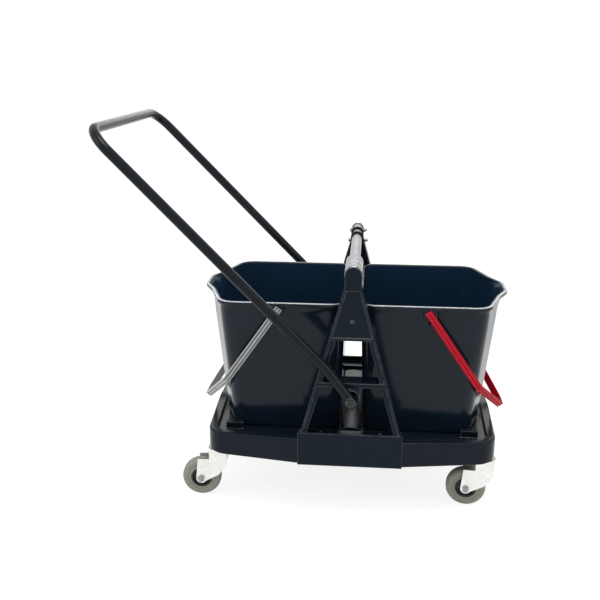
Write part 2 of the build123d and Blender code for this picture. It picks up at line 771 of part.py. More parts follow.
# Buckets with rolled lip, pouring spout, bail bosses and bail stops
stop_off = bail_width / 2 + seat_gap + bail_stop_radius
peg_x = bail_pivot_x + bail_stop_along * bail_out - stop_off * bail_down
peg_z = bail_pivot_height - bail_stop_along * bail_down - stop_off * bail_out
boss_face = bail_arm_inner - bail_boss_gap
boss_root = bucket_half_width - bail_boss_root
for end_name, end in ENDS.items():
    bucket_outside = bucket_body(end, bucket_foot)
    bucket_inside = bucket_body(end, bucket_foot + bucket_base, -bucket_wall)
    lip_face = bucket_outline(end, rim_height, 1, lip_out)
    with BuildPart() as bucket:
        add(bucket_outside)
        with BuildSketch(Plane.XY.offset(rim_height - lip_height)):
            add(lip_face)
        extrude(amount=lip_height)
        lip_edges = bucket.edges().group_by(Axis.Z)[-1]
        fillet(lip_edges, radius=lip_edge_radius)
        add(bucket_inside, mode=Mode.SUBTRACT)
        for side in SIDES.values():
            with BuildSketch(side_plane(side, boss_root)):
                with Locations((-side * end * bail_pivot_x, bail_pivot_height)):
                    Circle(bail_boss_radius)
            extrude(amount=boss_face - boss_root)
            with BuildSketch(side_plane(side, boss_face)):
                with Locations((-side * end * bail_pivot_x, bail_pivot_height)):
                    Circle(bail_pin_radius + running_clearance)
            extrude(amount=bail_boss_gap - bail_pin_depth - seat_gap, mode=Mode.SUBTRACT)
            peg_root = wall_face(peg_z) - bucket_wall / 2
            with BuildSketch(side_plane(side, peg_root)):
                with Locations((-side * end * peg_x, peg_z)):
                    Circle(bail_stop_radius)
            extrude(amount=bail_arm_inner + bail_thickness - peg_root)
    save(bucket, f"{end_name}_bucket")

# Bails: grooved straps with a narrow grip and pins turned in at both ends
for end_name, end in ENDS.items():
    bail_plane = leaning_plane(end * bail_pivot_x, bail_pivot_height, end * bail_out, -bail_down)
    with BuildPart() as bail:
        with BuildLine(bail_plane) as bail_route:
            FilletPolyline(
                (-bail_arm_middle, -bail_overrun),
                (-bail_arm_middle, bail_arm),
                (-bail_tip_half, bail_reach),
                (bail_tip_half, bail_reach),
                (bail_arm_middle, bail_arm),
                (bail_arm_middle, -bail_overrun),
                radius=[bail_bend_radius, bail_tip_radius, bail_tip_radius, bail_bend_radius],
            )
        start = Plane(origin=bail_route.line @ 0, x_dir=(0, 1, 0), z_dir=bail_route.line % 0)
        with BuildSketch(start):
            Rectangle(bail_thickness, bail_width)
            groove_x = (bail_groove_depth - bail_thickness) / 2
            with Locations((groove_x, -bail_groove_offset), (groove_x, bail_groove_offset)):
                Rectangle(bail_groove_depth, bail_groove_width, mode=Mode.SUBTRACT)
        sweep()
        for side in SIDES.values():
            with BuildSketch(side_plane(side, bail_arm_inner - bail_pin_depth)):
                with Locations((-side * end * bail_pivot_x, bail_pivot_height)):
                    Circle(bail_pin_radius)
            extrude(amount=bail_pin_depth + bail_thickness / 2)
    save(bail, f"{end_name}_bail")

# Castor stems with their flanges, and the balls of the swivels
with BuildPart() as castor_stems:
    for x, y in castor_places:
        for low, high, radius in (
            (castor_seat, castor_seat + stem_length, stem_radius),
            (castor_seat - stem_flange, castor_seat, stem_flange_radius),
            (crown_bottom - seat_gap, castor_seat - stem_flange, stem_pin_radius),
            (crown_bottom - seat_gap - stem_head, crown_bottom - seat_gap, stem_head_radius),
        ):
            with BuildSketch(Plane.XY.offset(low)):
                with Locations((x, y)):
                    Circle(radius)
            extrude(amount=high - low)
save(castor_stems, "castor_stems")

with BuildPart() as swivel_balls:
    for x, y in castor_places:
        with Locations((x, y, crown_top + ball_radius)):
            with PolarLocations(ball_pitch_radius, ball_count):
                Sphere(ball_radius - running_clearance)
save(swivel_balls, "swivel_balls")

# Castors: fork, axle bolt and nut swivel; wheel centre, tyre and bush roll
for side_name, side in SIDES.items():
    for end_name, end in ENDS.items():
        corner = f"{side_name}_{end_name}"
        turn = radians(180 + castor_turn[corner])
        trail_dir = (cos(turn), sin(turn), 0)
        swivel = Plane(origin=(end * castor_x, side * castor_y, 0), x_dir=trail_dir, z_dir=(0, 0, 1))
        axle_dir = (sin(turn), -cos(turn), 0)
        hub_point = swivel.from_local_coords((castor_trail, 0, wheel_radius))
        wheel = Plane(origin=hub_point, x_dir=trail_dir, z_dir=axle_dir)
        leg_top = crown_bottom + crown_thickness / 2 - wheel_radius

        with BuildPart() as fork:
            with BuildSketch(swivel.offset(crown_bottom)):
                Circle(crown_radius)
                Circle(stem_pin_radius + running_clearance, mode=Mode.SUBTRACT)
            extrude(amount=crown_thickness)
            with BuildSketch(swivel.offset(crown_top)):
                Circle(crown_radius)
                Circle(crown_radius - crown_rim_wall, mode=Mode.SUBTRACT)
            extrude(amount=crown_rim_height)
            for face in (fork_gap, -fork_outer):
                with BuildSketch(wheel.offset(face)):
                    with BuildLine():
                        Polyline(
                            (-castor_trail - fork_back, leg_top),
                            (-castor_trail + fork_front, leg_top),
                            (-castor_trail + fork_front, fork_shoulder),
                            (fork_tail, fork_shoulder),
                            (fork_axle_boss, 0),
                            (0, -fork_axle_boss),
                            (-fork_chin_back, fork_chin),
                            (-castor_trail - fork_back, fork_cheek),
                            close=True,
                        )
                    make_face()
                    Circle(fork_axle_boss)
                    Circle(axle_radius + static_clearance, mode=Mode.SUBTRACT)
                extrude(amount=fork_thickness)
        save(fork, f"{corner}_castor_fork")

        with BuildPart() as tyre:
            with BuildSketch(wheel.offset(-tyre_width / 2)):
                Circle(wheel_radius)
                Circle(tyre_bore, mode=Mode.SUBTRACT)
            extrude(amount=tyre_width)
            tread_edges = tyre.edges().filter_by(GeomType.CIRCLE).group_by(SortBy.RADIUS)[-1]
            fillet(tread_edges, radius=tyre_edge_radius)
        save(tyre, f"{corner}_tyre")

        with BuildPart() as hub:
            with BuildSketch(wheel.offset(-hub_rim_width / 2)):
                Circle(hub_radius)
                Circle(hub_radius - hub_rim_depth, mode=Mode.SUBTRACT)
            extrude(amount=hub_rim_width)
            with BuildSketch(wheel.offset(-hub_web / 2)):
                Circle(hub_radius - hub_rim_depth / 2)
            extrude(amount=hub_web)
            with BuildSketch(wheel.offset(-hub_core_half)):
                Circle(hub_core_radius)
            extrude(amount=2 * hub_core_half)
            with BuildSketch(wheel.offset(-hub_core_half)):
                Circle(bush_radius + static_clearance)
            extrude(amount=2 * hub_core_half, mode=Mode.SUBTRACT)
        save(hub, f"{corner}_wheel_centre")

        with BuildPart() as bush:
            with BuildSketch(wheel.offset(-hub_core_half)):
                Circle(bush_radius)
                Circle(axle_radius + running_clearance, mode=Mode.SUBTRACT)
            extrude(amount=2 * hub_core_half)
        save(bush, f"{corner}_wheel_bush")

        with BuildPart() as axle_bolt:
            with BuildSketch(wheel.offset(-fork_outer)):
                RegularPolygon(axle_head_radius, 6)
            extrude(amount=-axle_head)
            with BuildSketch(wheel.offset(-fork_outer)):
                Circle(axle_radius)
            extrude(amount=2 * fork_outer + axle_head + axle_end)
        save(axle_bolt, f"{corner}_axle_bolt")

        with BuildPart() as axle_nut:
            with BuildSketch(wheel.offset(fork_outer)):
                RegularPolygon(axle_head_radius, 6)
                Circle(axle_radius + static_clearance, mode=Mode.SUBTRACT)
            extrude(amount=axle_head)
        save(axle_nut, f"{corner}_axle_nut")
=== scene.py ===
from math import cos, hypot, pi, radians, sin, tan

import bmesh
import bpy
from mathutils import Matrix, Vector


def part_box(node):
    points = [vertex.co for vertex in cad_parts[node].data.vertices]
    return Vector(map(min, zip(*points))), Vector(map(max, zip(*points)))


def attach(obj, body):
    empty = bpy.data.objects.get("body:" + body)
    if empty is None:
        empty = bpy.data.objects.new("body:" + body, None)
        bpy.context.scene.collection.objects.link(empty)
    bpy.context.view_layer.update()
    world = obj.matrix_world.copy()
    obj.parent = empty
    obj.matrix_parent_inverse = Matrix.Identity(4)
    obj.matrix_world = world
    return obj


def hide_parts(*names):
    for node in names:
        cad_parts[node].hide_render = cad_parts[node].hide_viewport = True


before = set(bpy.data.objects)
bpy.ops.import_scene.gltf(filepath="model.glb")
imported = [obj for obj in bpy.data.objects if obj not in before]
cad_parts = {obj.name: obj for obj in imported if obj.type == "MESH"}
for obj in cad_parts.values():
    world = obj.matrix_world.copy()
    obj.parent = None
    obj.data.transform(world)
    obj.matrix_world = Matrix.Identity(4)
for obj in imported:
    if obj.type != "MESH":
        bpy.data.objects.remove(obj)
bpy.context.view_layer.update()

# Double mop bucket trolley: two glossy black buckets on a satin black castor deck, two A-frame
# towers joined by a silver crossbar, and a black push handle. Metres, Z up, front towards -Y.

SIDES = {"front": -1, "rear": 1}
ENDS = {"left": -1, "right": 1}
CORNERS = [(side, end) for side in SIDES for end in ENDS]
FLAT, CREASE = 0.4, 32         # degrees: flatter edges are taken out, sharper ones are eased

# Buckets
rim_height = 0.397
bucket_foot = 0.1413
bucket_base = 0.004
bucket_wall = 0.0032
bucket_inner_end, bucket_corner, bucket_throat, bucket_nose = 0.014, 0.241, 0.2725, 0.276
bucket_half_width, throat_half, nose_half = 0.151, 0.067, 0.027
inner_draft, side_draft, corner_draft, throat_draft, nose_draft = 1.8, 4.7, 4.7, 2.0, 6.0
corner_radii = [0.026, 0.032, 0.040, 0.040]
spout_flare, spout_pinch, spout_depth, spout_ease = 0.012, 0.004, 0.048, 1.3
lip_out, lip_height, lip_edge, lip_ease = 0.005, 0.008, 0.0024, 0.0004
wall_top_gap = 0.0015          # end of the plain outer wall, below the lip
inner_wall_drop = 0.002        # start of the plain inner wall, below the lip's shoulder
foot_round, foot_hollow = 0.004, 0.0015
foot_steps = (0.012, 0.010, 0.009)     # in from the wall: the hollow's floor, its edge, the land's edge
floor_round, floor_inset = 0.009, 0.0098
wall_rows, lip_rows = 22, 6

# Bails
bail_pivot_x, bail_pivot_height = 0.138, 0.383
bail_run, bail_fall = 0.1577, 0.2277
bail_reach = hypot(bail_run, bail_fall)
bail_out, bail_down = bail_run / bail_reach, bail_fall / bail_reach
bail_tip_length, bail_tip_half = 0.114, 0.018
bail_arm = bail_reach - bail_tip_length
bail_arm_bend, bail_tip_bend = 0.024, 0.011
bail_thickness, bail_width, strap_ease = 0.006, 0.013, 0.0008
groove_half, groove_offset, groove_depth, groove_slope = 0.0012, 0.003, 0.0012, 0.0003
bail_inner = 0.159
bail_middle = bail_inner + bail_thickness / 2
bail_overrun, bail_pin_radius, bail_pin_depth = 0.007, 0.0045, 0.0065
bail_boss_radius, bail_boss_face, bail_boss_sink, boss_ease = 0.013, 0.1584, 0.0025, 0.0004
bail_stop_radius, bail_stop_along = 0.003, 0.016
bail_stop_gap, bail_pin_play, rod_ease = 0.0003, 0.0001, 0.0008

# Handle
pivot_height = 0.240
handle_lean = 43.6
handle_half_spacing, handle_length, handle_radius, handle_facets = 0.222, 0.645, 0.009, 40
handle_bend, handle_set_radius = 0.046, 0.120
handle_set_along, handle_set_out, handle_heel = 0.070, 0.008, 0.011

# Crossbar
crossbar_height = 0.464
sleeve_start, sleeve_length, sleeve_cone, sleeve_radius = -0.197, 0.092, 0.016, 0.0158
sleeve_rings, ring_width, ring_depth = (0.009, 0.028), 0.003, 0.0008
sleeve_bore, sleeve_bore_depth, sleeve_end_wall = 0.01305, 0.028, 0.0015
tube_radius, tube_wall, tube_fit, tube_start, tube_end = 0.010, 0.0015, 0.01005, -0.160, 0.203
cap_radius, cap_length, cap_round, cap_steps, cap_plug, cap_play = 0.0125, 0.009, 0.004, 6, 0.014, 0.00005
collar_starts, collar_width, collar_radius, collar_ease = (0.100, 0.147), 0.012, 0.013, 0.0015
turned_ease, soft_ease = 0.0006, 0.0001

# Rear tower's outline
tower_foot, tower_foot_half = 0.150, 0.095
rear_neck, rear_head_half = 0.449, 0.013

# Fasteners: a hexagon's corner from its middle, the head's or nut's height, the bore's and shank's radii
small_hex, small_head, small_bore, small_shank = 0.0045, 0.0035, 0.0026, 0.0025
rear_low_bolt = 0.442
bolt_past_seat = 0.007         # bolt's end, past its nut's seat
screw_head_radius, screw_head, screw_shank, screw_length = 0.0045, 0.003, 0.002, 0.017
pan_profile = ((0, 0), (0, screw_head_radius), (0.0012, screw_head_radius), (0.0022, 0.0039),
               (0.0029, 0.0026), (screw_head, 0.0019), (0.0014, 0.0016), (0.0014, 0))
pivot_hex, pivot_head, pivot_nut, pivot_shank = 0.0075, 0.0055, 0.0065, 0.004
pivot_nut_seat, pivot_past_nut = 0.169, 0.001
washer_bore, washer_radius, washer_thickness, washer_ease = 0.0041, 0.009, 0.0012, 0.0003
axle_hex, axle_head, axle_shank = 0.0065, 0.0045, 0.004
nut_bore = 0.00405             # of the pivots' and the axles' nuts

# Castors
castor_x, castor_y, castor_trail = 0.255, 0.140, 0.033
castor_turn = {"front_left": 3, "front_right": -6, "rear_left": 172, "rear_right": 5}
wheel_radius, tyre_bore, tyre_half, tyre_shoulder, shoulder_steps = 0.0375, 0.0205, 0.012, 0.008, 8
tyre_side_ring = ((0, 0.0232), (0.0005, 0.0238), (0.0011, 0.0240),
                  (0.0011, 0.0262), (0.0005, 0.0264), (0, 0.0270))     # depth, radius
fork_outer = 0.0165
ball_pitch_radius, ball_radius, ball_height, balls_per_race = 0.0128, 0.00245, 0.0975, 12

# Studio
paper_tone, shown_tone, shown_glow, room_light = 0.80, 0.35, 0.84, 0.55
camera_place = (0.02533, -1.58018, 0.83251)
camera_yaw, camera_pitch, camera_roll = -0.0849, 0.2911, 0.0031
camera_lens, camera_sensor = 49.71, 36


# Nodes, and shader groups shared by several finishes

def add_node(tree, kind, inputs, **settings):
    """Adds a node with its settings; inputs, by name or number, are sockets to link or plain values."""
    node = tree.nodes.new(kind)
    for label, value in settings.items():
        setattr(node, label, value)
    for label, value in inputs.items():
        if isinstance(value, bpy.types.NodeSocket):
            tree.links.new(value, node.inputs[label])
        else:
            node.inputs[label].default_value = value
    return node


def shader_group(name, inputs, outputs):
    """Empty shader group with named sockets; returns it with its input and output nodes."""
    group = bpy.data.node_groups.new(name, "ShaderNodeTree")
    for label, value in inputs.items():
        socket = group.interface.new_socket(label, in_out="INPUT", socket_type="NodeSocketFloat")
        socket.default_value = value
    for label in outputs:
        group.interface.new_socket(label, in_out="OUTPUT", socket_type="NodeSocketFloat")
    return group, group.nodes.new("NodeGroupInput"), group.nodes.new("NodeGroupOutput")


def maths(tree, operation, *values):
    """Math node on sockets or plain numbers; returns its result."""
    return add_node(tree, "ShaderNodeMath", dict(enumerate(values)), operation=operation).outputs[0]


def spread(tree, value, low, high, to_low=0.0, to_high=1.0):
    """Map Range node, clamped."""
    limits = {"From Min": low, "From Max": high, "To Min": to_low, "To Max": to_high}
    return add_node(tree, "ShaderNodeMapRange", {"Value": value, **limits}).outputs["Result"]


def own_place(tree):
    """The piece's own coordinates."""
    return tree.nodes.new("ShaderNodeTexCoord").outputs["Object"]


def one_axis(tree, vector, axis):
    return add_node(tree, "ShaderNodeSeparateXYZ", {0: vector}).outputs[axis]


def noise(tree, scale, detail, vector=None, roughness=0.5):
    """Noise on the piece's own coordinates, or on a stretched set of them."""
    if vector is None:
        vector = own_place(tree)
    inputs = {"Vector": vector, "Scale": scale, "Detail": detail, "Roughness": roughness}
    return add_node(tree, "ShaderNodeTexNoise", inputs).outputs["Fac"]


def put_out_mask(group, start, end, *masks):
    """Multiplies masks with the group's amount and puts the result out."""
    mask = start.outputs["Amount"]
    for factor in masks:
        mask = maths(group, "MULTIPLY", factor, mask)
    group.links.new(mask, end.inputs["Mask"])


def make_moulding_grain():
    group, start, end = shader_group(
        "moulding_grain", {"Grain scale": 900, "Mottle scale": 9}, ["Grain", "Mottle"])
    group.links.new(noise(group, start.outputs["Grain scale"], 2), end.inputs["Grain"])
    group.links.new(noise(group, start.outputs["Mottle scale"], 5, roughness=0.6), end.inputs["Mottle"])
    return group


def make_edge_wear_and_highlight():
    """Pale edges where a rounded normal turns away from the surface's own, broken into patches: wear on most
    finishes, a painted edge highlight on the satin deck and towers.
    """
    group, start, end = shader_group("edge_wear_and_highlight", {"Width": 0.0015, "Amount": 0.5}, ["Mask"])
    rounded = add_node(group, "ShaderNodeBevel", {"Radius": start.outputs["Width"]}, samples=6)
    surface = group.nodes.new("ShaderNodeNewGeometry")
    normals = {0: rounded.outputs[0], 1: surface.outputs["Normal"]}
    facing = add_node(group, "ShaderNodeVectorMath", normals, operation="DOT_PRODUCT")
    turned_away = spread(group, maths(group, "SUBTRACT", 1.0, facing.outputs["Value"]), 0.01, 0.16)
    put_out_mask(group, start, end, turned_away, spread(group, noise(group, 40, 4), 0.22, 0.50))
    return group


def make_settled_dust():
    """Patches of dust on whatever lies level."""
    group, start, end = shader_group("settled_dust", {"Amount": 0.1, "Patch scale": 14}, ["Mask"])
    surface = group.nodes.new("ShaderNodeNewGeometry")
    level = spread(group, one_axis(group, surface.outputs["Normal"], "Z"), 0.55, 0.98)
    patches = spread(group, noise(group, start.outputs["Patch scale"], 6, roughness=0.65), 0.35, 0.75)
    put_out_mask(group, start, end, level, patches)
    return group


def make_fine_scuffs():
    """Fine marks that run in two directions."""
    group, start, end = shader_group("fine_scuffs", {"Scale": 40, "Amount": 0.3}, ["Mask"])
    place = own_place(group)
    masks = []
    for turn, stretch in (((0.3, 0.5, 0.2), (1, 34, 5)), ((1.1, 0.2, 0.9), (38, 1, 6))):
        lay = add_node(group, "ShaderNodeMapping", {"Vector": place, "Rotation": turn, "Scale": stretch})
        masks.append(spread(group, noise(group, start.outputs["Scale"], 3, lay.outputs[0]), 0.62, 0.74))
    put_out_mask(group, start, end, maths(group, "MAXIMUM", *masks))
    return group


moulding_grain = make_moulding_grain()
edge_wear_and_highlight = make_edge_wear_and_highlight()
settled_dust = make_settled_dust()
fine_scuffs = make_fine_scuffs()


# Finishes

mottle_span = (0.3, 0.75)      # part of the mottle's noise that shows
dust_colour, bared_metal = (0.30, 0.29, 0.27), (0.45, 0.44, 0.42)
grain_depth, line_depth = 0.0004, 0.0002


def blank_finish(name):
    finish = bpy.data.materials.new(name)
    finish.use_nodes = True
    tree = finish.node_tree
    shader = next(node for node in tree.nodes if node.type == "BSDF_PRINCIPLED")
    return finish, tree, shader


def place_group(tree, group, values):
    """Places a shared group with a finish's own values; returns its outputs."""
    return add_node(tree, "ShaderNodeGroup", values, node_tree=group).outputs


def blend_colours(tree, mask, first, second):
    """Colour going from first to second by a mask; each is a colour or a socket."""
    first, second = ((*value, 1) if isinstance(value, tuple) else value for value in (first, second))
    return add_node(tree, "ShaderNodeMix", {"Factor": mask, 6: first, 7: second}, data_type="RGBA").outputs[2]


def surface_bump(tree, shader, height, strength, distance):
    bump = add_node(tree, "ShaderNodeBump", {"Height": height, "Strength": strength, "Distance": distance})
    tree.links.new(bump.outputs["Normal"], shader.inputs["Normal"])


def point_mask(label):
    """Mask that reads a value kept on a piece's points."""
    def mask(tree):
        return add_node(tree, "ShaderNodeAttribute", {}, attribute_name=label).outputs["Fac"]
    return mask


def rim_highlight_mask(tree):
    """Painted highlight along the outer brow of a bucket's lip, broken into patches and kept off its inner
    end.
    """
    brow = spread(tree, point_mask("brow")(tree), 0.36, 0.66)
    outward = spread(tree, maths(tree, "ABSOLUTE", one_axis(tree, own_place(tree), "X")), 0.024, 0.042)
    pale_edge = maths(tree, "MULTIPLY", brow, outward)
    return maths(tree, "MULTIPLY", pale_edge, spread(tree, noise(tree, 26, 4), 0.25, 0.55, 0.6, 1.0))


def groove_shade_mask(tree):
    """Painted shade in the grooves round the crossbar's sleeve."""
    along = one_axis(tree, own_place(tree), "Y")
    bands = []
    for ring in sleeve_rings:
        off = maths(tree, "ABSOLUTE", maths(tree, "SUBTRACT", along, sleeve_start + ring - ring_width / 2))
        bands.append(spread(tree, off, 0.35 * ring_width, 0.65 * ring_width, 1.0, 0.0))
    return maths(tree, "MAXIMUM", *bands)


def moulded(name, colour, pale, pale_edge, roughness, grain, bump, edge_amount, dust,
            scuff=0.25, mottle=8, specular=0.5, edge=0.0016, patches=()):
    """Moulded plastic: mottled colour, pale edges (wear on most finishes, a painted edge highlight on the
    satin deck and towers), a little dust, scuffs in its gloss, a fine grain.
    """
    finish, tree, shader = blank_finish(name)
    skin = place_group(tree, moulding_grain, {"Grain scale": grain, "Mottle scale": mottle})
    edge_mask = place_group(tree, edge_wear_and_highlight, {"Width": edge, "Amount": edge_amount})["Mask"]
    dusty = place_group(tree, settled_dust, {"Amount": dust, "Patch scale": 16})["Mask"]
    scuffed = place_group(tree, fine_scuffs, {"Scale": 34, "Amount": scuff})["Mask"]
    shade = blend_colours(tree, spread(tree, skin["Mottle"], *mottle_span), colour, pale)
    shade = blend_colours(tree, edge_mask, shade, pale_edge)
    for mask, tint in patches:
        shade = blend_colours(tree, mask(tree), shade, tint)
    shade = blend_colours(tree, dusty, shade, dust_colour)
    tree.links.new(shade, shader.inputs["Base Color"])
    gloss = spread(tree, skin["Mottle"], *mottle_span, *roughness)
    gloss = maths(tree, "ADD", gloss, maths(tree, "MULTIPLY", scuffed, 0.35))
    gloss = maths(tree, "ADD", gloss, maths(tree, "MULTIPLY", dusty, 0.5))
    tree.links.new(gloss, shader.inputs["Roughness"])
    shader.inputs["Specular IOR Level"].default_value = specular
    surface_bump(tree, shader, skin["Grain"], bump, grain_depth)
    return finish


def drawn_metal(name, colour, dull, roughness, line_scale, bump, edge_amount=0.0, patches=()):
    """Bare or plated metal with fine drawn lines, blotches in its gloss and small marks."""
    finish, tree, shader = blank_finish(name)
    mottle = place_group(tree, moulding_grain, {"Grain scale": 600, "Mottle scale": 26})["Mottle"]
    scuffed = place_group(tree, fine_scuffs, {"Scale": 60, "Amount": 0.5})["Mask"]
    edge_mask = place_group(tree, edge_wear_and_highlight, {"Width": 0.001, "Amount": edge_amount})["Mask"]
    lay = add_node(tree, "ShaderNodeMapping", {"Vector": own_place(tree), "Scale": line_scale})
    lines = noise(tree, 60, 4, lay.outputs[0], 0.7)
    streaks = maths(tree, "MAXIMUM", spread(tree, lines, 0.42, 0.62), spread(tree, mottle, 0.4, 0.75))
    shade = blend_colours(tree, streaks, colour, dull)
    shade = blend_colours(tree, edge_mask, shade, bared_metal)
    for mask, tint in patches:
        shade = blend_colours(tree, mask(tree), shade, tint)
    tree.links.new(shade, shader.inputs["Base Color"])
    shader.inputs["Metallic"].default_value = 1.0
    gloss = spread(tree, mottle, *mottle_span, *roughness)
    gloss = maths(tree, "ADD", gloss, maths(tree, "MULTIPLY", scuffed, 0.25))
    gloss = maths(tree, "ADD", gloss, spread(tree, lines, 0.3, 0.7, -0.05, 0.05))
    tree.links.new(gloss, shader.inputs["Roughness"])
    surface_bump(tree, shader, lines, bump, line_depth)
    return finish


# Inside the bucket the finish takes a painted bluish shade: the same moulding, tinted bluer where it lies in
# shade.
bucket_gloss = moulded(
    "bucket_gloss_black", (0.0060, 0.0134, 0.0226), (0.0070, 0.0156, 0.0264), pale_edge=(0.06, 0.066, 0.075),
    roughness=(0.12, 0.17), grain=700, bump=0.03, edge_amount=0.25, dust=0.010, scuff=0.12, mottle=5, specular=0.20,
    # The lip's outer brow takes a painted highlight.
    patches=((point_mask("inside"), (0.0082, 0.0235, 0.0495)), (rim_highlight_mask, (0.60, 0.61, 0.63))))
# Satin deck and towers: their strong pale edges are a painted edge highlight, light lines along the flange
# and panel edges.
satin = dict(pale_edge=(0.34, 0.35, 0.36), roughness=(0.17, 0.24), grain=1300, bump=0.10, edge_amount=0.85, dust=0.012,
             edge=0.0022)
deck_satin = moulded(
    "deck_satin_black", (0.0040, 0.0084, 0.0152), (0.0054, 0.0106, 0.0182), specular=0.15, **satin)
tower_satin = moulded(
    "tower_satin_black", (0.0030, 0.0088, 0.0176), (0.0042, 0.0110, 0.0212), specular=0.13, **satin)
plug_black = moulded(
    "plug_satin_black", (0.0045, 0.005, 0.006), (0.007, 0.0075, 0.0085), pale_edge=(0.05, 0.05, 0.05),
    roughness=(0.35, 0.45), grain=1500, bump=0.12, edge_amount=0.4, dust=0.02, specular=0.3)
collar_black = moulded(
    "collar_dull_black", (0.0035, 0.0038, 0.0042), (0.005, 0.0054, 0.006), pale_edge=(0.03, 0.03, 0.03),
    roughness=(0.6, 0.7), grain=1800, bump=0.15, edge_amount=0.3, dust=0.01, mottle=30, specular=0.12)
handle_paint = moulded(
    "handle_black_paint", (0.0036, 0.0060, 0.0098), (0.0050, 0.0080, 0.0125), pale_edge=(0.09, 0.09, 0.09),
    roughness=(0.20, 0.26), grain=420, bump=0.04, edge_amount=0.25, dust=0.008, scuff=0.15, mottle=9, specular=0.18)
black_steel = moulded(
    "fastener_black_steel", (0.008, 0.0085, 0.0095), (0.014, 0.0145, 0.016), pale_edge=(0.30, 0.30, 0.30),
    roughness=(0.25, 0.34), grain=1100, bump=0.08, edge_amount=0.9, dust=0.02, mottle=40, specular=0.4)
grey_bail = moulded(
    "bail_light_grey", (0.40, 0.41, 0.415), (0.46, 0.47, 0.475), pale_edge=(0.62, 0.62, 0.62),
    roughness=(0.24, 0.34), grain=900, bump=0.05, edge_amount=0.5, dust=0.02, specular=0.4,
    # The grooves' floors take painted shade.
    patches=((point_mask("groove"), (0.075, 0.078, 0.08)),))
red_bail = moulded(
    "bail_red", (0.49, 0.0042, 0.0180), (0.56, 0.0056, 0.0225), pale_edge=(0.66, 0.07, 0.09),
    roughness=(0.48, 0.58), grain=900, bump=0.05, edge_amount=0.45, dust=0.004, specular=0.05, edge=0.0008,
    # The grooves' floors take a paler pink: a painted highlight along the grooves.
    patches=((point_mask("groove"), (0.62, 0.07, 0.095)),))
tyre_rubber = moulded(
    "tyre_grey_rubber", (0.30, 0.298, 0.248), (0.365, 0.36, 0.302), pale_edge=(0.42, 0.415, 0.36),
    roughness=(0.55, 0.7), grain=800, bump=0.3, edge_amount=0.5, dust=0.12, scuff=0.5, mottle=30, specular=0.3)
wheel_grey = moulded(
    "wheel_dark_plastic", (0.030, 0.031, 0.028), (0.042, 0.043, 0.040), pale_edge=(0.10, 0.10, 0.10),
    roughness=(0.4, 0.5), grain=1200, bump=0.15, edge_amount=0.4, dust=0.08, mottle=30, specular=0.35)
bush_nylon = moulded(
    "bush_white_nylon", (0.62, 0.60, 0.54), (0.68, 0.66, 0.60), pale_edge=(0.72, 0.71, 0.68),
    roughness=(0.35, 0.45), grain=1400, bump=0.08, edge_amount=0.2, dust=0.03, mottle=40)
drawn_along = dict(roughness=(0.22, 0.32), line_scale=(9, 1, 9), bump=0.10)
crossbar_silver = drawn_metal(
    "crossbar_drawn_silver", (0.31, 0.315, 0.325), dull=(0.175, 0.18, 0.19),
    # The sleeve's ring grooves take painted shade.
    patches=((groove_shade_mask, (0.045, 0.046, 0.048)),), **drawn_along)
cap_silver = drawn_metal(
    "crossbar_cap_silver", (0.56, 0.565, 0.575), dull=(0.40, 0.405, 0.415), **drawn_along)
fastener_steel = drawn_metal(
    "fastener_bright_steel", (0.34, 0.34, 0.335), dull=(0.24, 0.24, 0.235), roughness=(0.24, 0.36),
    line_scale=(5, 5, 5), bump=0.08, edge_amount=0.4)
castor_zinc = drawn_metal(
    "castor_pale_zinc", (0.86, 0.86, 0.83), dull=(0.75, 0.75, 0.72), roughness=(0.34, 0.46),
    line_scale=(3, 3, 3), bump=0.05, edge_amount=0.2)


# Mesh work

def new_object(name, data):
    piece = bpy.data.objects.new(name, data)
    bpy.context.scene.collection.objects.link(piece)
    return piece


def object_from(name, bm):
    mesh = bpy.data.meshes.new(name)
    bm.to_mesh(mesh)
    bm.free()
    return new_object(name, mesh)


def finish_piece(piece, body, finish, node, crease=CREASE):
    """Smooth shading up to the crease angle, the finish, and the body and node that the piece belongs to."""
    piece.data.materials.clear()
    piece.data.materials.append(finish)
    piece.data.shade_smooth()
    piece.data.set_sharp_from_angle(angle=radians(crease))
    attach(piece, body)
    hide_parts(node)


def eased_copy(name, node, ease):
    """Copy of a CAD node with its flats made whole and its sharp edges rounded off."""
    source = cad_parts[node].data
    bm = bmesh.new()
    corners = [bm.verts.new(vertex.co) for vertex in source.vertices]
    for face in source.polygons:
        bm.faces.new([corners[index] for index in face.vertices])
    bmesh.ops.remove_doubles(bm, verts=bm.verts[:], dist=2e-6)
    bmesh.ops.dissolve_degenerate(bm, edges=bm.edges[:], dist=1e-6)
    bmesh.ops.dissolve_limit(bm, angle_limit=radians(FLAT), verts=bm.verts[:], edges=bm.edges[:])
    piece = object_from(name, bm)
    rounding = piece.modifiers.new("eased_edges", "BEVEL")
    rounding.width = ease
    rounding.segments = 2
    rounding.limit_method = "ANGLE"
    rounding.angle_limit = radians(CREASE)
    rounding.use_clamp_overlap = False
    rounding.harden_normals = True
    return piece


def skin_rings(bm, rings, looped=False):
    """Faces between rings of points, one after the other; a ring may be one point repeated."""
    pairs = list(zip(rings, rings[1:]))
    if looped:
        pairs.append((rings[-1], rings[0]))
    added = []
    for low, high in pairs:
        for step in range(len(low)):
            after = (step + 1) % len(low)
            corners = dict.fromkeys((low[step], low[after], high[after], high[step]))
            if len(corners) > 2:
                added.append(bm.faces.new(list(corners)))
    return added


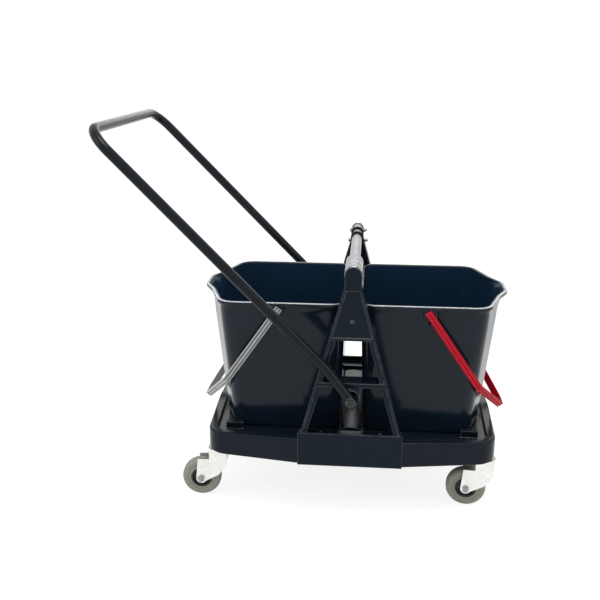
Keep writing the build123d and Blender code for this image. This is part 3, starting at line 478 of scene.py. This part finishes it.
def turned_solid(bm, profile, start, axis, segments, looped=False):
    """Adds a solid turned about an axis; profile is (distance along, radius) from one end to the other."""
    axis = Vector(axis).normalized()
    across = axis.orthogonal().normalized()
    rings = []
    for along, radius in profile:
        centre = Vector(start) + axis * along
        if radius < 1e-9:
            rings.append([bm.verts.new(centre)] * segments)
            continue
        rings.append([
            bm.verts.new(centre + Matrix.Rotation(2 * pi * step / segments, 3, axis) @ across * radius)
            for step in range(segments)
        ])
    bmesh.ops.recalc_face_normals(bm, faces=skin_rings(bm, rings, looped))


def turned_piece(name, profile, start=(0, 0, 0), axis=(0, 0, 1), segments=48, looped=False):
    bm = bmesh.new()
    turned_solid(bm, profile, start, axis, segments, looped)
    return object_from(name, bm)


def quarter_turn(steps):
    """Angles through a quarter of a turn, both ends included."""
    return [pi / 2 * k / steps for k in range(steps + 1)]


def eased_rod(length, radius, ease, steps=3):
    """Profile of a plain round rod with both ends eased."""
    arc = [(ease * (1 - cos(a)), radius - ease * (1 - sin(a))) for a in quarter_turn(steps)]
    return [(0, 0), *arc, *[(length - along, r) for along, r in reversed(arc)], (length, 0)]


# Geometry Nodes trees

def node_tree(name, sizes, objects):
    """Empty geometry tree with named inputs; returns it, its group nodes and its sockets' identifiers."""
    tree = bpy.data.node_groups.new(name, "GeometryNodeTree")
    tree.interface.new_socket("Geometry", in_out="INPUT", socket_type="NodeSocketGeometry")
    tree.interface.new_socket("Geometry", in_out="OUTPUT", socket_type="NodeSocketGeometry")
    kinds = {label: "Int" if isinstance(value, int) else "Float" for label, value in sizes.items()}
    kinds |= {**dict.fromkeys(objects, "Object"), "Finish": "Material"}
    keys = {}
    for label, kind in kinds.items():
        socket = tree.interface.new_socket(label, in_out="INPUT", socket_type="NodeSocket" + kind)
        if label in sizes:
            socket.default_value = sizes[label]
        keys[label] = socket.identifier
    return tree, tree.nodes.new("NodeGroupInput").outputs, tree.nodes.new("NodeGroupOutput"), keys


def close_tree(tree, start, end, made):
    """Ends a tree in Realize Instances and Set Material."""
    realise = add_node(tree, "GeometryNodeRealizeInstances", {0: made})
    inputs = {"Geometry": realise.outputs[0], "Material": start["Finish"]}
    tree.links.new(add_node(tree, "GeometryNodeSetMaterial", inputs).outputs[0], end.inputs[0])


def attribute_of(tree, name, kind):
    node = add_node(tree, "GeometryNodeInputNamedAttribute", {"Name": name}, data_type=kind)
    return next(socket for socket in node.outputs if socket.enabled)


def shape_of(tree, shape):
    """Geometry of an object that a tree has as an input."""
    return add_node(tree, "GeometryNodeObjectInfo", {"Object": shape}).outputs["Geometry"]


def make_section_along_route():
    """Sweeps a section along a route whose corners are rounded by their own bend radius."""
    tree, start, end, keys = node_tree("section_along_route", {"Bend steps": 14}, ["Section"])
    route = add_node(tree, "GeometryNodeMeshToCurve", {0: start["Geometry"]})
    level = add_node(tree, "GeometryNodeSetCurveNormal", {0: route.outputs[0]}, mode="Z_UP")
    radius = attribute_of(tree, "bend_radius", "FLOAT")
    corners = {"Curve": level.outputs[0], "Count": start["Bend steps"], "Radius": radius}
    bend = add_node(tree, "GeometryNodeFilletCurve", corners, mode="POLY")
    outline = add_node(tree, "GeometryNodeMeshToCurve", {0: shape_of(tree, start["Section"])})
    inputs = {"Curve": bend.outputs[0], "Profile Curve": outline.outputs[0], "Fill Caps": True}
    sweep = add_node(tree, "GeometryNodeCurveToMesh", inputs)
    close_tree(tree, start, end, sweep.outputs[0])
    return tree, keys


def make_bolts_at_points():
    """Puts a head and a shank at each point, along the point's axis; the shank is as long as its reach."""
    tree, start, end, keys = node_tree("bolts_at_points", {"Head scale": 1.0}, ["Head", "Shank"])
    axis = attribute_of(tree, "axis", "FLOAT_VECTOR")
    turn = add_node(tree, "FunctionNodeAlignRotationToVector", {"Vector": axis}, axis="Z")
    reach = attribute_of(tree, "reach", "FLOAT")
    stretch = add_node(tree, "ShaderNodeCombineXYZ", {"X": 1.0, "Y": 1.0, "Z": reach})
    joined = tree.nodes.new("GeometryNodeJoinGeometry")
    for label, scale in (("Head", start["Head scale"]), ("Shank", stretch.outputs[0])):
        inputs = {"Points": start["Geometry"], "Instance": shape_of(tree, start[label])}
        inputs |= {"Rotation": turn.outputs[0], "Scale": scale}
        copies = add_node(tree, "GeometryNodeInstanceOnPoints", inputs)
        tree.links.new(copies.outputs[0], joined.inputs[0])
    close_tree(tree, start, end, joined.outputs[0])
    return tree, keys


def make_ball_race():
    """Rings of balls round the points of the mesh."""
    tree, start, end, keys = node_tree(
        "ball_race", {"Pitch radius": 0.01, "Ball radius": 0.002, "Balls": 12}, [])
    circle = {"Radius": start["Pitch radius"], "Vertices": start["Balls"]}
    ring = add_node(tree, "GeometryNodeMeshCircle", circle)
    sphere = {"Radius": start["Ball radius"], "Segments": 16, "Rings": 8}
    ball = add_node(tree, "GeometryNodeMeshUVSphere", sphere)
    balls = {"Points": ring.outputs[0], "Instance": ball.outputs[0]}
    race = add_node(tree, "GeometryNodeInstanceOnPoints", balls)
    places = {"Points": start["Geometry"], "Instance": race.outputs[0]}
    races = add_node(tree, "GeometryNodeInstanceOnPoints", places)
    close_tree(tree, start, end, races.outputs[0])
    return tree, keys


def grown(name, seed_mesh, tree_and_keys, finish, **inputs):
    """Runs a tree on a seed mesh and returns the result as a plain object."""
    tree, keys = tree_and_keys
    seed = new_object(name + "_seed", seed_mesh)
    growth = seed.modifiers.new("growth", "NODES")
    growth.node_group = tree
    growth[keys["Finish"]] = finish
    for label, value in inputs.items():
        growth[keys[label.replace("_", " ")]] = value
    mesh = bpy.data.meshes.new_from_object(seed.evaluated_get(bpy.context.evaluated_depsgraph_get()))
    mesh.name = name
    seed.modifiers.remove(growth)
    bpy.data.objects.remove(seed)
    return new_object(name, mesh)


def points_mesh(name, points, edges=(), **attributes):
    """Mesh of points and edges with named values on its points."""
    mesh = bpy.data.meshes.new(name)
    mesh.from_pydata([tuple(point) for point in points], list(edges), [])
    for label, values in attributes.items():
        if isinstance(values[0], (int, float)):
            mesh.attributes.new(label, "FLOAT", "POINT").data.foreach_set("value", values)
        else:
            flat = [number for value in values for number in value]
            mesh.attributes.new(label, "FLOAT_VECTOR", "POINT").data.foreach_set("vector", flat)
    return mesh


section_along_route = make_section_along_route()
bolts_at_points = make_bolts_at_points()
ball_race = make_ball_race()


def swept_mesh(name, route, radii, outline, finish, origin, along, bend_steps, **marks):
    """Outline, with marks on its points, swept along a route in the plane of Y and a direction."""
    steps = [(k, k + 1) for k in range(len(route) - 1)]
    seed = points_mesh(name + "_route", route, steps, bend_radius=radii)
    closed = [(k, (k + 1) % len(outline)) for k in range(len(outline))]
    ring = points_mesh(name + "_outline", [(x, y, 0) for x, y in outline], closed, **marks)
    section = new_object(name + "_section", ring)
    piece = grown(name, seed, section_along_route, finish, Section=section, Bend_steps=bend_steps)
    bpy.data.objects.remove(section)
    across, along = Vector((0, 1, 0)), Vector(along)
    plane = Matrix((across, along, across.cross(along))).transposed().to_4x4()
    bm = bmesh.new()
    bm.from_mesh(piece.data)
    bm.transform(Matrix.Translation(origin) @ plane)
    bmesh.ops.recalc_face_normals(bm, faces=bm.faces[:])
    return piece, bm


# Buckets

def rounded_ring(points, radii, grow, arc_steps=10, run_steps=8):
    """Points round a closed outline with filleted corners, offset outwards by grow."""
    count = len(points)
    runs = [(points[(k + 1) % count] - points[k]).normalized() for k in range(count)]
    corners = []
    for k in range(count):
        before, after = runs[k - 1], runs[k]
        bend = -before.angle_signed(after)
        out_before, out_after = Vector((before.y, -before.x)), Vector((after.y, -after.x))
        shift = (out_before + out_after) / (1 + out_before.dot(out_after)) * grow
        radius = max(1e-4, radii[k] + (grow if bend > 0 else -grow))
        start = points[k] + shift - before * (radius * tan(abs(bend) / 2))
        corners.append((start, before, bend, radius))
    ring = []
    for k, (start, before, bend, radius) in enumerate(corners):
        side = 1 if bend > 0 else -1
        centre = start + Vector((-before.y, before.x)) * radius * side
        for step in range(arc_steps + 1):
            ring.append(centre + Matrix.Rotation(bend * step / arc_steps, 2) @ (start - centre))
        leave, goal = ring[-1].copy(), corners[(k + 1) % count][0]
        for step in range(1, run_steps):
            ring.append(leave.lerp(goal, step / run_steps))
    return ring


def drawn_in(drop, draft):
    """How far a wall of a given draft has come in at a drop below the rim."""
    return drop * tan(radians(draft))


def wall_face(height):
    """Distance of a bucket's side wall from the middle at a height."""
    return bucket_half_width - drawn_in(rim_height - height, side_draft)


def bucket_ring(height, grow, full_spout=False):
    """Ring round the right-hand bucket at a height, grown outwards or inwards."""
    drop = rim_height - height
    rise = 1 if full_spout else max(0, 1 - drop / spout_depth) ** spout_ease
    half, nose_in = wall_face(height), drawn_in(drop, nose_draft)
    throat = throat_half - drawn_in(drop, throat_draft)
    near = [
        Vector((bucket_inner_end + drawn_in(drop, inner_draft), -half)),
        Vector((bucket_corner - drawn_in(drop, corner_draft), -half)),
        Vector((bucket_throat - nose_in - spout_pinch * rise, -throat)),
        Vector((bucket_nose - nose_in + spout_flare * rise, -nose_half)),
    ]
    far = [Vector((x, -y)) for x, y in reversed(near)]
    return [(x, y, height) for x, y in rounded_ring(near + far, corner_radii + corner_radii[::-1], grow)]


def plain_rows(start, end, grow):
    """Rows of a plain wall from one height to another."""
    return [(start + (end - start) * k / wall_rows, grow) for k in range(wall_rows + 1)]


def bucket_shell(bm, end):
    """Outer wall, rolled lip, inner wall and floor as one skin; marks the lip's brow and the inside."""
    inside, brow = (bm.verts.layers.float.new(label) for label in ("inside", "brow"))
    quarter = quarter_turn(lip_rows)
    hollow_floor, hollow_edge, land_edge = foot_steps
    foot_top, hollow_top = bucket_foot + foot_round, bucket_foot + foot_hollow
    lip_low, shoulder = rim_height - lip_height, rim_height - lip_edge
    outer = [(hollow_top, -hollow_floor), (hollow_top, -hollow_edge), (bucket_foot, -land_edge),
             (bucket_foot, -foot_round)]
    outer += [(bucket_foot + foot_round * (1 - cos(a)), foot_round * (sin(a) - 1))
              for a in (0.3, 0.7, 1.1, 1.4)]
    outer += plain_rows(foot_top, lip_low - wall_top_gap, 0)
    lip = [(lip_low - lip_ease, 1.5 * lip_ease), (lip_low, 4 * lip_ease), (lip_low, lip_out - 3 * lip_ease),
           (lip_low + lip_ease, lip_out - lip_ease), (lip_low + 3 * lip_ease, lip_out)]
    brow_start = len(outer + lip)
    lip += [(shoulder + lip_edge * sin(a), lip_out - lip_edge * (1 - cos(a))) for a in quarter]
    lip += [(shoulder + lip_edge * cos(a), -bucket_wall + lip_edge * (1 - sin(a))) for a in quarter]
    inside_start = len(outer + lip)
    floor_top = bucket_foot + bucket_base
    floor_edge = floor_top + floor_round
    inner = plain_rows(shoulder - inner_wall_drop, floor_edge, -bucket_wall)
    inner += [(floor_edge - floor_round * sin(a), -bucket_wall - floor_round * (1 - cos(a)))
              for a in (0.25, 0.5, 0.75, 1.0, 1.25, 1.5)]
    inner += [(floor_top, -bucket_wall - floor_inset)]
    rows = [(*row, part is lip) for part in (outer, lip, inner) for row in part]
    rings = [[bm.verts.new((end * x, y, z)) for x, y, z in bucket_ring(*row)] for row in rows]
    # The inside's points carry the painted bluish shade of the bucket's finish.
    for ring in rings[inside_start:]:
        for point in ring:
            point[inside] = 1.0
    for ring, angle in zip(rings[brow_start:], quarter):
        for point in ring:
            point[brow] = angle / quarter[-1]
    skin_rings(bm, rings)
    bm.faces.new(rings[0])
    bm.faces.new(rings[-1])
    bmesh.ops.recalc_face_normals(bm, faces=bm.faces[:])


def make_bucket(end_name, end):
    """Bucket with the bosses that hold its bail and the pegs that the bail rests on."""
    bm = bmesh.new()
    bucket_shell(bm, end)
    stop_off = bail_width / 2 + bail_stop_gap + bail_stop_radius
    peg_x = bail_pivot_x + bail_stop_along * bail_out - stop_off * bail_down
    peg_height = bail_pivot_height - bail_stop_along * bail_down - stop_off * bail_out
    peg_root = wall_face(peg_height) - bucket_wall / 2
    peg = eased_rod(bail_inner + bail_thickness - peg_root, bail_stop_radius, rod_ease)
    boss_root = bucket_half_width - bail_boss_sink
    depth, bore = bail_boss_face - boss_root, bail_pin_radius + bail_pin_play
    boss = [(0, bail_boss_radius), (depth - 3 * boss_ease, bail_boss_radius),
            (depth - boss_ease, bail_boss_radius - boss_ease), (depth, bail_boss_radius - 3 * boss_ease),
            (depth, bore + boss_ease), (depth - boss_ease, bore), (0, bore)]
    for side in SIDES.values():
        turned_solid(bm, boss, (end * bail_pivot_x, side * boss_root, bail_pivot_height), (0, side, 0),
                     segments=64, looped=True)
        turned_solid(bm, peg, (end * peg_x, side * peg_root, peg_height), (0, side, 0), segments=32)
    piece = object_from(f"{end_name}_bucket_shell", bm)
    finish_piece(piece, f"{end_name}_bucket", bucket_gloss, f"{end_name}_bucket", crease=50)


# Bails

def strap_section():
    """Strap's section with eased corners and two grooves in its outer face; marks the grooves' floors."""
    half, wide, ease = bail_thickness / 2, bail_width / 2, strap_ease
    points = [(half - ease, -wide), (half, -wide + ease), (half, wide - ease), (half - ease, wide)]
    points += [(-half + ease, wide), (-half, wide - ease)]
    floor, floor_half = -half + groove_depth, groove_half - groove_slope
    for middle in (groove_offset, -groove_offset):
        points += [(-half, middle + groove_half), (floor, middle + floor_half),
                   (floor, middle - floor_half), (-half, middle - groove_half)]
    points += [(-half, -wide + ease), (-half + ease, -wide)]
    return points, [1.0 if x == floor else 0.0 for x, y in points]


def make_bail(end_name, end, finish):
    """Grooved strap with pins turned in at both pivots."""
    stub = -bail_overrun
    route = [(-bail_middle, stub, 0), (-bail_middle, bail_arm, 0), (-bail_tip_half, bail_reach, 0),
             (bail_tip_half, bail_reach, 0), (bail_middle, bail_arm, 0), (bail_middle, stub, 0)]
    radii = [0.0, bail_arm_bend, bail_tip_bend, bail_tip_bend, bail_arm_bend, 0.0]
    outline, hollows = strap_section()
    pivot, along = (end * bail_pivot_x, 0, bail_pivot_height), (end * bail_out, 0, -bail_down)
    piece, bm = swept_mesh(f"{end_name}_bail_strap", route, radii, outline, finish, pivot, along,
                           bend_steps=14, groove=hollows)
    pin = eased_rod(bail_pin_depth + bail_thickness / 2, bail_pin_radius, rod_ease)
    for side in SIDES.values():
        start = (end * bail_pivot_x, side * (bail_inner - bail_pin_depth), bail_pivot_height)
        turned_solid(bm, pin, start, (0, side, 0), segments=40)
    bm.to_mesh(piece.data)
    bm.free()
    finish_piece(piece, f"{end_name}_bail", finish, f"{end_name}_bail")


# Handle

def make_handle():
    """Bent tube: a grip, two legs and a slight set in each leg near its pivot."""
    set_length = hypot(handle_set_along, handle_set_out)
    heel = (-handle_heel * handle_set_along / set_length, -handle_heel * handle_set_out / set_length)
    leg = [heel, (handle_set_along, handle_set_out), (handle_length, 0)]
    route = [(-handle_half_spacing, *point) for point in leg]
    route += [(handle_half_spacing, *point) for point in reversed(leg)]
    radii = [0.0, handle_set_radius, handle_bend, handle_bend, handle_set_radius, 0.0]
    turns = [2 * pi * k / handle_facets for k in range(handle_facets)]
    ring = [(handle_radius * cos(turn), handle_radius * sin(turn)) for turn in turns]
    pivot, lean = (0, 0, pivot_height), (-sin(radians(handle_lean)), 0, cos(radians(handle_lean)))
    piece, bm = swept_mesh("push_handle_tube", route, radii, ring, handle_paint, pivot, lean, bend_steps=24)
    bm.to_mesh(piece.data)
    bm.free()
    finish_piece(piece, "handle", handle_paint, "handle_tube")


# Bolts, nuts and screws

def hex_shape(name, corner, height, bore=0.0, segments=48):
    """Six-sided head or nut, its outer corners chamfered; it stands on Z = 0 with its top up."""
    flat = corner * cos(pi / 6)
    crown, chamfer = 0.96 * flat, tan(radians(30))
    bm = bmesh.new()
    spokes = []
    for step in range(segments):
        angle = 2 * pi * step / segments
        edge = flat / cos((angle + pi / 6) % (pi / 3) - pi / 6)
        spoke = [(edge, 0), (edge, height - (edge - crown) * chamfer), (crown, height)]
        if bore:
            spoke += [(bore, height), (bore, 0)]
        spokes.append([bm.verts.new((radius * cos(angle), radius * sin(angle), z)) for radius, z in spoke])
    rings = list(zip(*spokes))
    if not bore:
        bm.faces.new(rings[0])
        bm.faces.new(rings[-1])
    skin_rings(bm, rings, looped=bool(bore))
    bmesh.ops.recalc_face_normals(bm, faces=bm.faces[:])
    return object_from(name, bm)


def shank_shape(name, radius):
    """Shank of unit length below Z = 0, its end chamfered."""
    profile = [(0, 0), (0, radius), (-0.94, radius), (-1, radius * 0.8), (-1, 0)]
    return turned_piece(name, profile, segments=32)


def hex_set(name, corner, head, nut, bore, shank):
    """Shapes of a bolt's head, its nut and its shank."""
    return (hex_shape(f"{name}_hex_head", corner, head), hex_shape(f"{name}_hex_nut", corner, nut, bore),
            shank_shape(f"{name}_shank", shank))


def set_fasteners(name, body, node, places, head, shank=None, slot="fastener_steel", finish=fastener_steel):
    """A group of fasteners; places are (point, axis, reach)."""
    points, axes, reaches = zip(*places)
    seed = points_mesh(name + "_places", points, axis=list(axes), reach=[float(reach) for reach in reaches])
    piece = grown(name, seed, bolts_at_points, finish, Head=head, Shank=shank)
    finish_piece(piece, body, finish, node)


in_black = {"slot": "black_steel", "finish": black_steel}


def rear_half(height):
    """Half width of the rear tower's head at a height."""
    run = min(1, (height - tower_foot) / (rear_neck - tower_foot))
    return tower_foot_half + (rear_head_half - tower_foot_half) * run


def make_rear_bolts():
    """Cross bolts through the rear tower's head, seated on its sloping cheeks."""
    low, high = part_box("rear_head_bolts")
    y = (low.y + high.y) / 2
    bolts, nuts = [], []
    for height in (crossbar_height, rear_low_bolt):
        half = rear_half(height - small_hex)
        bolts.append(((-half, y, height), (-1, 0, 0), 2 * half + bolt_past_seat))
        nuts.append(((half, y, height), (1, 0, 0), 0))
    head, nut, shank = hex_set("small", small_hex, small_head, small_head, small_bore, small_shank)
    set_fasteners("rear_cross_bolts", "chassis", "rear_head_bolts", bolts, head, shank)
    set_fasteners("rear_cross_nuts", "chassis", "rear_head_nuts", nuts, nut)
    return head, nut, shank


def make_tower_screws():
    """Pan-head screws at the corners of the box that their CAD node fills."""
    low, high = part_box("tower_screws")
    inset = screw_head_radius
    screws = [((x, y, high.z - screw_head), (0, 0, 1), screw_length)
              for x in (low.x + inset, high.x - inset) for y in (low.y + inset, high.y - inset)]
    head = turned_piece("pan_head", pan_profile)
    shank = shank_shape("screw_shank", screw_shank)
    set_fasteners("tower_foot_screws", "chassis", "tower_screws", screws, head, shank, **in_black)
    return head, shank


def make_pivots():
    """The handle's two pivots: bolts from outside, nuts inside the towers, washers under the heads."""
    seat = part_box("handle_pivot_bolts")[1].y - pivot_head
    reach = seat - (pivot_nut_seat - pivot_nut) + pivot_past_nut
    rim = washer_radius - washer_ease
    ring = [(0, washer_bore), (0, rim), (washer_ease, washer_radius),
            (washer_thickness - washer_ease, washer_radius), (washer_thickness, rim),
            (washer_thickness, washer_bore)]
    head, nut, shank = hex_set("pivot", pivot_hex, pivot_head, pivot_nut, nut_bore, pivot_shank)
    washer = turned_piece("pivot_washer", ring, segments=64, looped=True)
    for kind, distance, turn, length, shapes in (
        ("bolt", seat, 1, reach, (head, shank)),
        ("nut", pivot_nut_seat, -1, 0, (nut,)),
        ("washer", seat - washer_thickness, 1, 0, (washer,)),
    ):
        places = [((0, side * distance, pivot_height), (0, side * turn, 0), length)
                  for side in SIDES.values()]
        set_fasteners(f"handle_pivot_{kind}_pair", "chassis", f"handle_pivot_{kind}s", places,
                      *shapes, **in_black)
    return head, nut, shank, washer


def make_axles():
    head, nut, shank = hex_set("axle", axle_hex, axle_head, axle_head, nut_bore, axle_shank)
    for side, end in CORNERS:
        corner = f"{side}_{end}"
        hub, axis = wheel_place(side, end)
        for kind, out, reach, shapes in (
            ("bolt", -axis, 2 * fork_outer + bolt_past_seat, (head, shank)),
            ("nut", axis, 0, (nut,)),
        ):
            places = [(hub + out * fork_outer, out, reach)]
            set_fasteners(f"{corner}_axle_hex_{kind}", f"{corner}_swivel", f"{corner}_axle_{kind}", places,
                          *shapes)
    return head, nut, shank


# Castors

def wheel_place(side, end):
    """Middle of a wheel and the direction of its axle."""
    turn = radians(180 + castor_turn[f"{side}_{end}"])
    kingpin = Vector((ENDS[end] * castor_x, SIDES[side] * castor_y, 0))
    hub = kingpin + Vector((cos(turn), sin(turn), 0)) * castor_trail + Vector((0, 0, wheel_radius))
    return hub, Vector((sin(turn), -cos(turn), 0))


def tyre_profile():
    """Round-shouldered tread, a shallow ring in each side wall and a plain bore."""
    half_side = [(0, tyre_bore), *tyre_side_ring]
    half_side += [(tyre_shoulder * (1 - cos(a)), wheel_radius - tyre_shoulder * (1 - sin(a)))
                  for a in quarter_turn(shoulder_steps)]
    return half_side + [(2 * tyre_half - along, radius) for along, radius in reversed(half_side)]


def make_wheels():
    for side, end in CORNERS:
        corner = f"{side}_{end}"
        hub, axis = wheel_place(side, end)
        tyre = turned_piece(f"{corner}_tyre_ring", tyre_profile(), hub - axis * tyre_half, axis,
                            segments=96, looped=True)
        finish_piece(tyre, f"{corner}_wheel", tyre_rubber, f"{corner}_tyre", crease=40)
        for name, node, body, slot, finish, ease in (
            ("wheel_hub", "wheel_centre", "wheel", "wheel_plastic", wheel_grey, 0.0005),
            ("axle_bush", "wheel_bush", "wheel", "bush_nylon", bush_nylon, 0.0002),
            ("pressed_fork", "castor_fork", "swivel", "castor_zinc", castor_zinc, 0.0006),
        ):
            piece = eased_copy(f"{corner}_{name}", f"{corner}_{node}", ease)
            finish_piece(piece, f"{corner}_{body}", finish, f"{corner}_{node}")


def make_swivels():
    stems = eased_copy("castor_stem_set", "castor_stems", 0.0004)
    finish_piece(stems, "chassis", castor_zinc, "castor_stems")
    kingpins = [(end * castor_x, side * castor_y, ball_height)
                for end in ENDS.values() for side in SIDES.values()]
    balls = grown("swivel_ball_races", points_mesh("kingpins", kingpins), ball_race, fastener_steel,
                  Pitch_radius=ball_pitch_radius, Ball_radius=ball_radius, Balls=balls_per_race)
    finish_piece(balls, "chassis", fastener_steel, "swivel_balls", crease=60)


# Crossbar

def sleeve_profile():
    """Two ring grooves, a plain body, a cone down to the tube, and a stepped bore."""
    ease, soft, radius = turned_ease, soft_ease, sleeve_radius
    shoulder, tip = sleeve_length, sleeve_length + sleeve_cone
    thin = tube_radius + sleeve_end_wall
    profile = [(0, sleeve_bore), (0, radius - ease), (ease, radius)]
    for ring in sleeve_rings:
        profile += [(ring - ring_width - ease, radius), (ring - ring_width, radius - ring_depth),
                    (ring, radius - ring_depth), (ring + ease, radius)]
    profile += [(shoulder - 10 * soft, radius), (shoulder, radius - soft),
                (shoulder + 10 * soft, radius - 4 * soft), (tip - ease, thin + soft), (tip, thin - ease)]
    return profile + [(tip, tube_fit), (sleeve_bore_depth, tube_fit), (sleeve_bore_depth, sleeve_bore)]


def cap_profile():
    """Plug in the tube's end and a rim with a rounded edge."""
    plug, soft = tube_radius - tube_wall - cap_play, soft_ease
    dome = [(cap_length - cap_round * (1 - sin(a)), cap_radius - cap_round * (1 - cos(a)))
            for a in quarter_turn(cap_steps)]
    return [(-cap_plug, 0), (-cap_plug, plug - 5 * soft), (-cap_plug + 5 * soft, plug), (0, plug),
            (0, cap_radius - 4 * soft), (4 * soft, cap_radius), *dome, (cap_length, 0)]


def make_crossbar():
    length, bore = tube_end - tube_start, tube_radius - tube_wall
    tube = [(0, bore), (0, tube_radius), (length, tube_radius), (length, bore)]
    for name, node, profile, start, segments, looped, finish in (
        ("stepped_sleeve", "sleeve", sleeve_profile(), sleeve_start, 96, True, crossbar_silver),
        ("drawn_tube", "tube", tube, tube_start, 80, True, crossbar_silver),
        ("domed_cap", "end_cap", cap_profile(), tube_end, 80, False, cap_silver),
    ):
        place = (0, start, crossbar_height)
        piece = turned_piece(f"crossbar_{name}", profile, place, (0, 1, 0), segments, looped)
        finish_piece(piece, "chassis", finish, f"crossbar_{node}")
    rim = eased_rod(collar_width, collar_radius, collar_ease, steps=4)[1:-1]
    collar = [(0, tube_fit), *rim, (collar_width, tube_fit)]
    bm = bmesh.new()
    for start in collar_starts:
        turned_solid(bm, collar, (0, start, crossbar_height), (0, 1, 0), segments=80, looped=True)
    collars = object_from("crossbar_collar_pair", bm)
    finish_piece(collars, "chassis", collar_black, "crossbar_collars")


# Building it

for end_name, end in ENDS.items():
    make_bucket(end_name, end)
make_bail("left", -1, grey_bail)
make_bail("right", 1, red_bail)
make_handle()
for make in (make_rear_bolts, make_tower_screws, make_pivots, make_axles):
    for shape in make():
        bpy.data.objects.remove(shape)
make_wheels()
make_swivels()
make_crossbar()
for name, node, body, slot, finish, ease in (
    ("deck_moulding", "chassis_base", "chassis", "deck_plastic", deck_satin, 0.0012),
    ("front_tower_moulding", "front_tower", "chassis", "deck_plastic", tower_satin, 0.0009),
    ("rear_tower_moulding", "rear_tower", "chassis", "deck_plastic", tower_satin, 0.0009),
    ("handle_bush_pair", "handle_pivot_bushes", "handle", "bush_nylon", bush_nylon, 0.0001),
    ("handle_plug_pair", "handle_end_plugs", "handle", "plug_plastic", plug_black, 0.0005),
    ("handle_stop_pin_pair", "handle_stop_pins", "handle", "fastener_steel", fastener_steel, 0.0003),
):
    finish_piece(eased_copy(name, node, ease), body, finish, node)


# Floor, light and camera

def grey_shader(tree, kind, tone=1.0, **strength):
    """Plain grey shader, with a strength where its kind has one; returns its output."""
    return add_node(tree, kind, {"Color": (tone, tone, tone, 1), **strength}).outputs[0]


def pick_shader(tree, lighting, shown, end):
    """One shader for the rays that light the object, another for those that show the background itself."""
    rays = tree.nodes.new("ShaderNodeLightPath").outputs
    seen = maths(tree, "MAXIMUM", rays["Is Camera Ray"], rays["Is Glossy Ray"])
    seen = maths(tree, "MAXIMUM", seen, rays["Is Transmission Ray"])
    choice = add_node(tree, "ShaderNodeMixShader", {0: seen, 1: lighting, 2: shown})
    add_node(tree, end, {"Surface": choice.outputs[0]})


def cleared_tree(owner):
    owner.use_nodes = True
    owner.node_tree.nodes.clear()
    return owner.node_tree


def make_floor():
    """Paper that shows white and keeps the object's soft shadow."""
    bm = bmesh.new()
    bmesh.ops.create_grid(bm, x_segments=1, y_segments=1, size=30)
    floor = object_from("studio_floor", bm)
    finish = bpy.data.materials.new("studio_floor_paper")
    tree = cleared_tree(finish)
    paper = grey_shader(tree, "ShaderNodeBsdfDiffuse", paper_tone)
    shown = grey_shader(tree, "ShaderNodeBsdfDiffuse", shown_tone)
    glow = grey_shader(tree, "ShaderNodeEmission", Strength=shown_glow)
    both = add_node(tree, "ShaderNodeAddShader", {0: shown, 1: glow})
    pick_shader(tree, paper, both.outputs[0], "ShaderNodeOutputMaterial")
    floor.data.materials.append(finish)


def make_world():
    world = bpy.data.worlds.new("studio_white")
    bpy.context.scene.world = world
    tree = cleared_tree(world)
    soft, white = (grey_shader(tree, "ShaderNodeBackground", Strength=level) for level in (room_light, 1.0))
    pick_shader(tree, soft, white, "ShaderNodeOutputWorld")


def softbox(name, place, target, width, depth, power):
    lamp = bpy.data.lights.new(name, "AREA")
    lamp.shape = "RECTANGLE"
    lamp.size, lamp.size_y = width, depth
    lamp.energy = power
    holder = new_object(name, lamp)
    holder.location = place
    holder.rotation_euler = (Vector(target) - Vector(place)).to_track_quat("-Z", "Y").to_euler()


def make_camera():
    lens = bpy.data.cameras.new("photo_camera")
    lens.sensor_width = camera_sensor
    lens.lens = camera_lens
    camera = new_object("photo_camera", lens)
    turn = Matrix.Rotation(-camera_yaw, 4, "Z") @ Matrix.Rotation(pi / 2 - camera_pitch, 4, "X")
    camera.matrix_world = Matrix.Translation(camera_place) @ turn @ Matrix.Rotation(camera_roll, 4, "Z")
    bpy.context.scene.camera = camera


make_floor()
make_world()
softbox("overhead_softbox", (0.0, -0.5, 2.3), (0, 0, 0.3), width=1.0, depth=0.7, power=20)
softbox("back_softbox", (0.0, 3.2, 1.7), (0, 0, 0.35), width=3.6, depth=0.9, power=12)
softbox("left_softbox", (-2.0, -1.2, 1.4), (0, 0, 0.3), width=1.0, depth=1.6, power=9)
softbox("right_softbox", (2.1, -0.9, 1.3), (0, 0, 0.3), width=0.8, depth=1.4, power=6)
make_camera()
bpy.context.scene.view_settings.view_transform = "Standard"
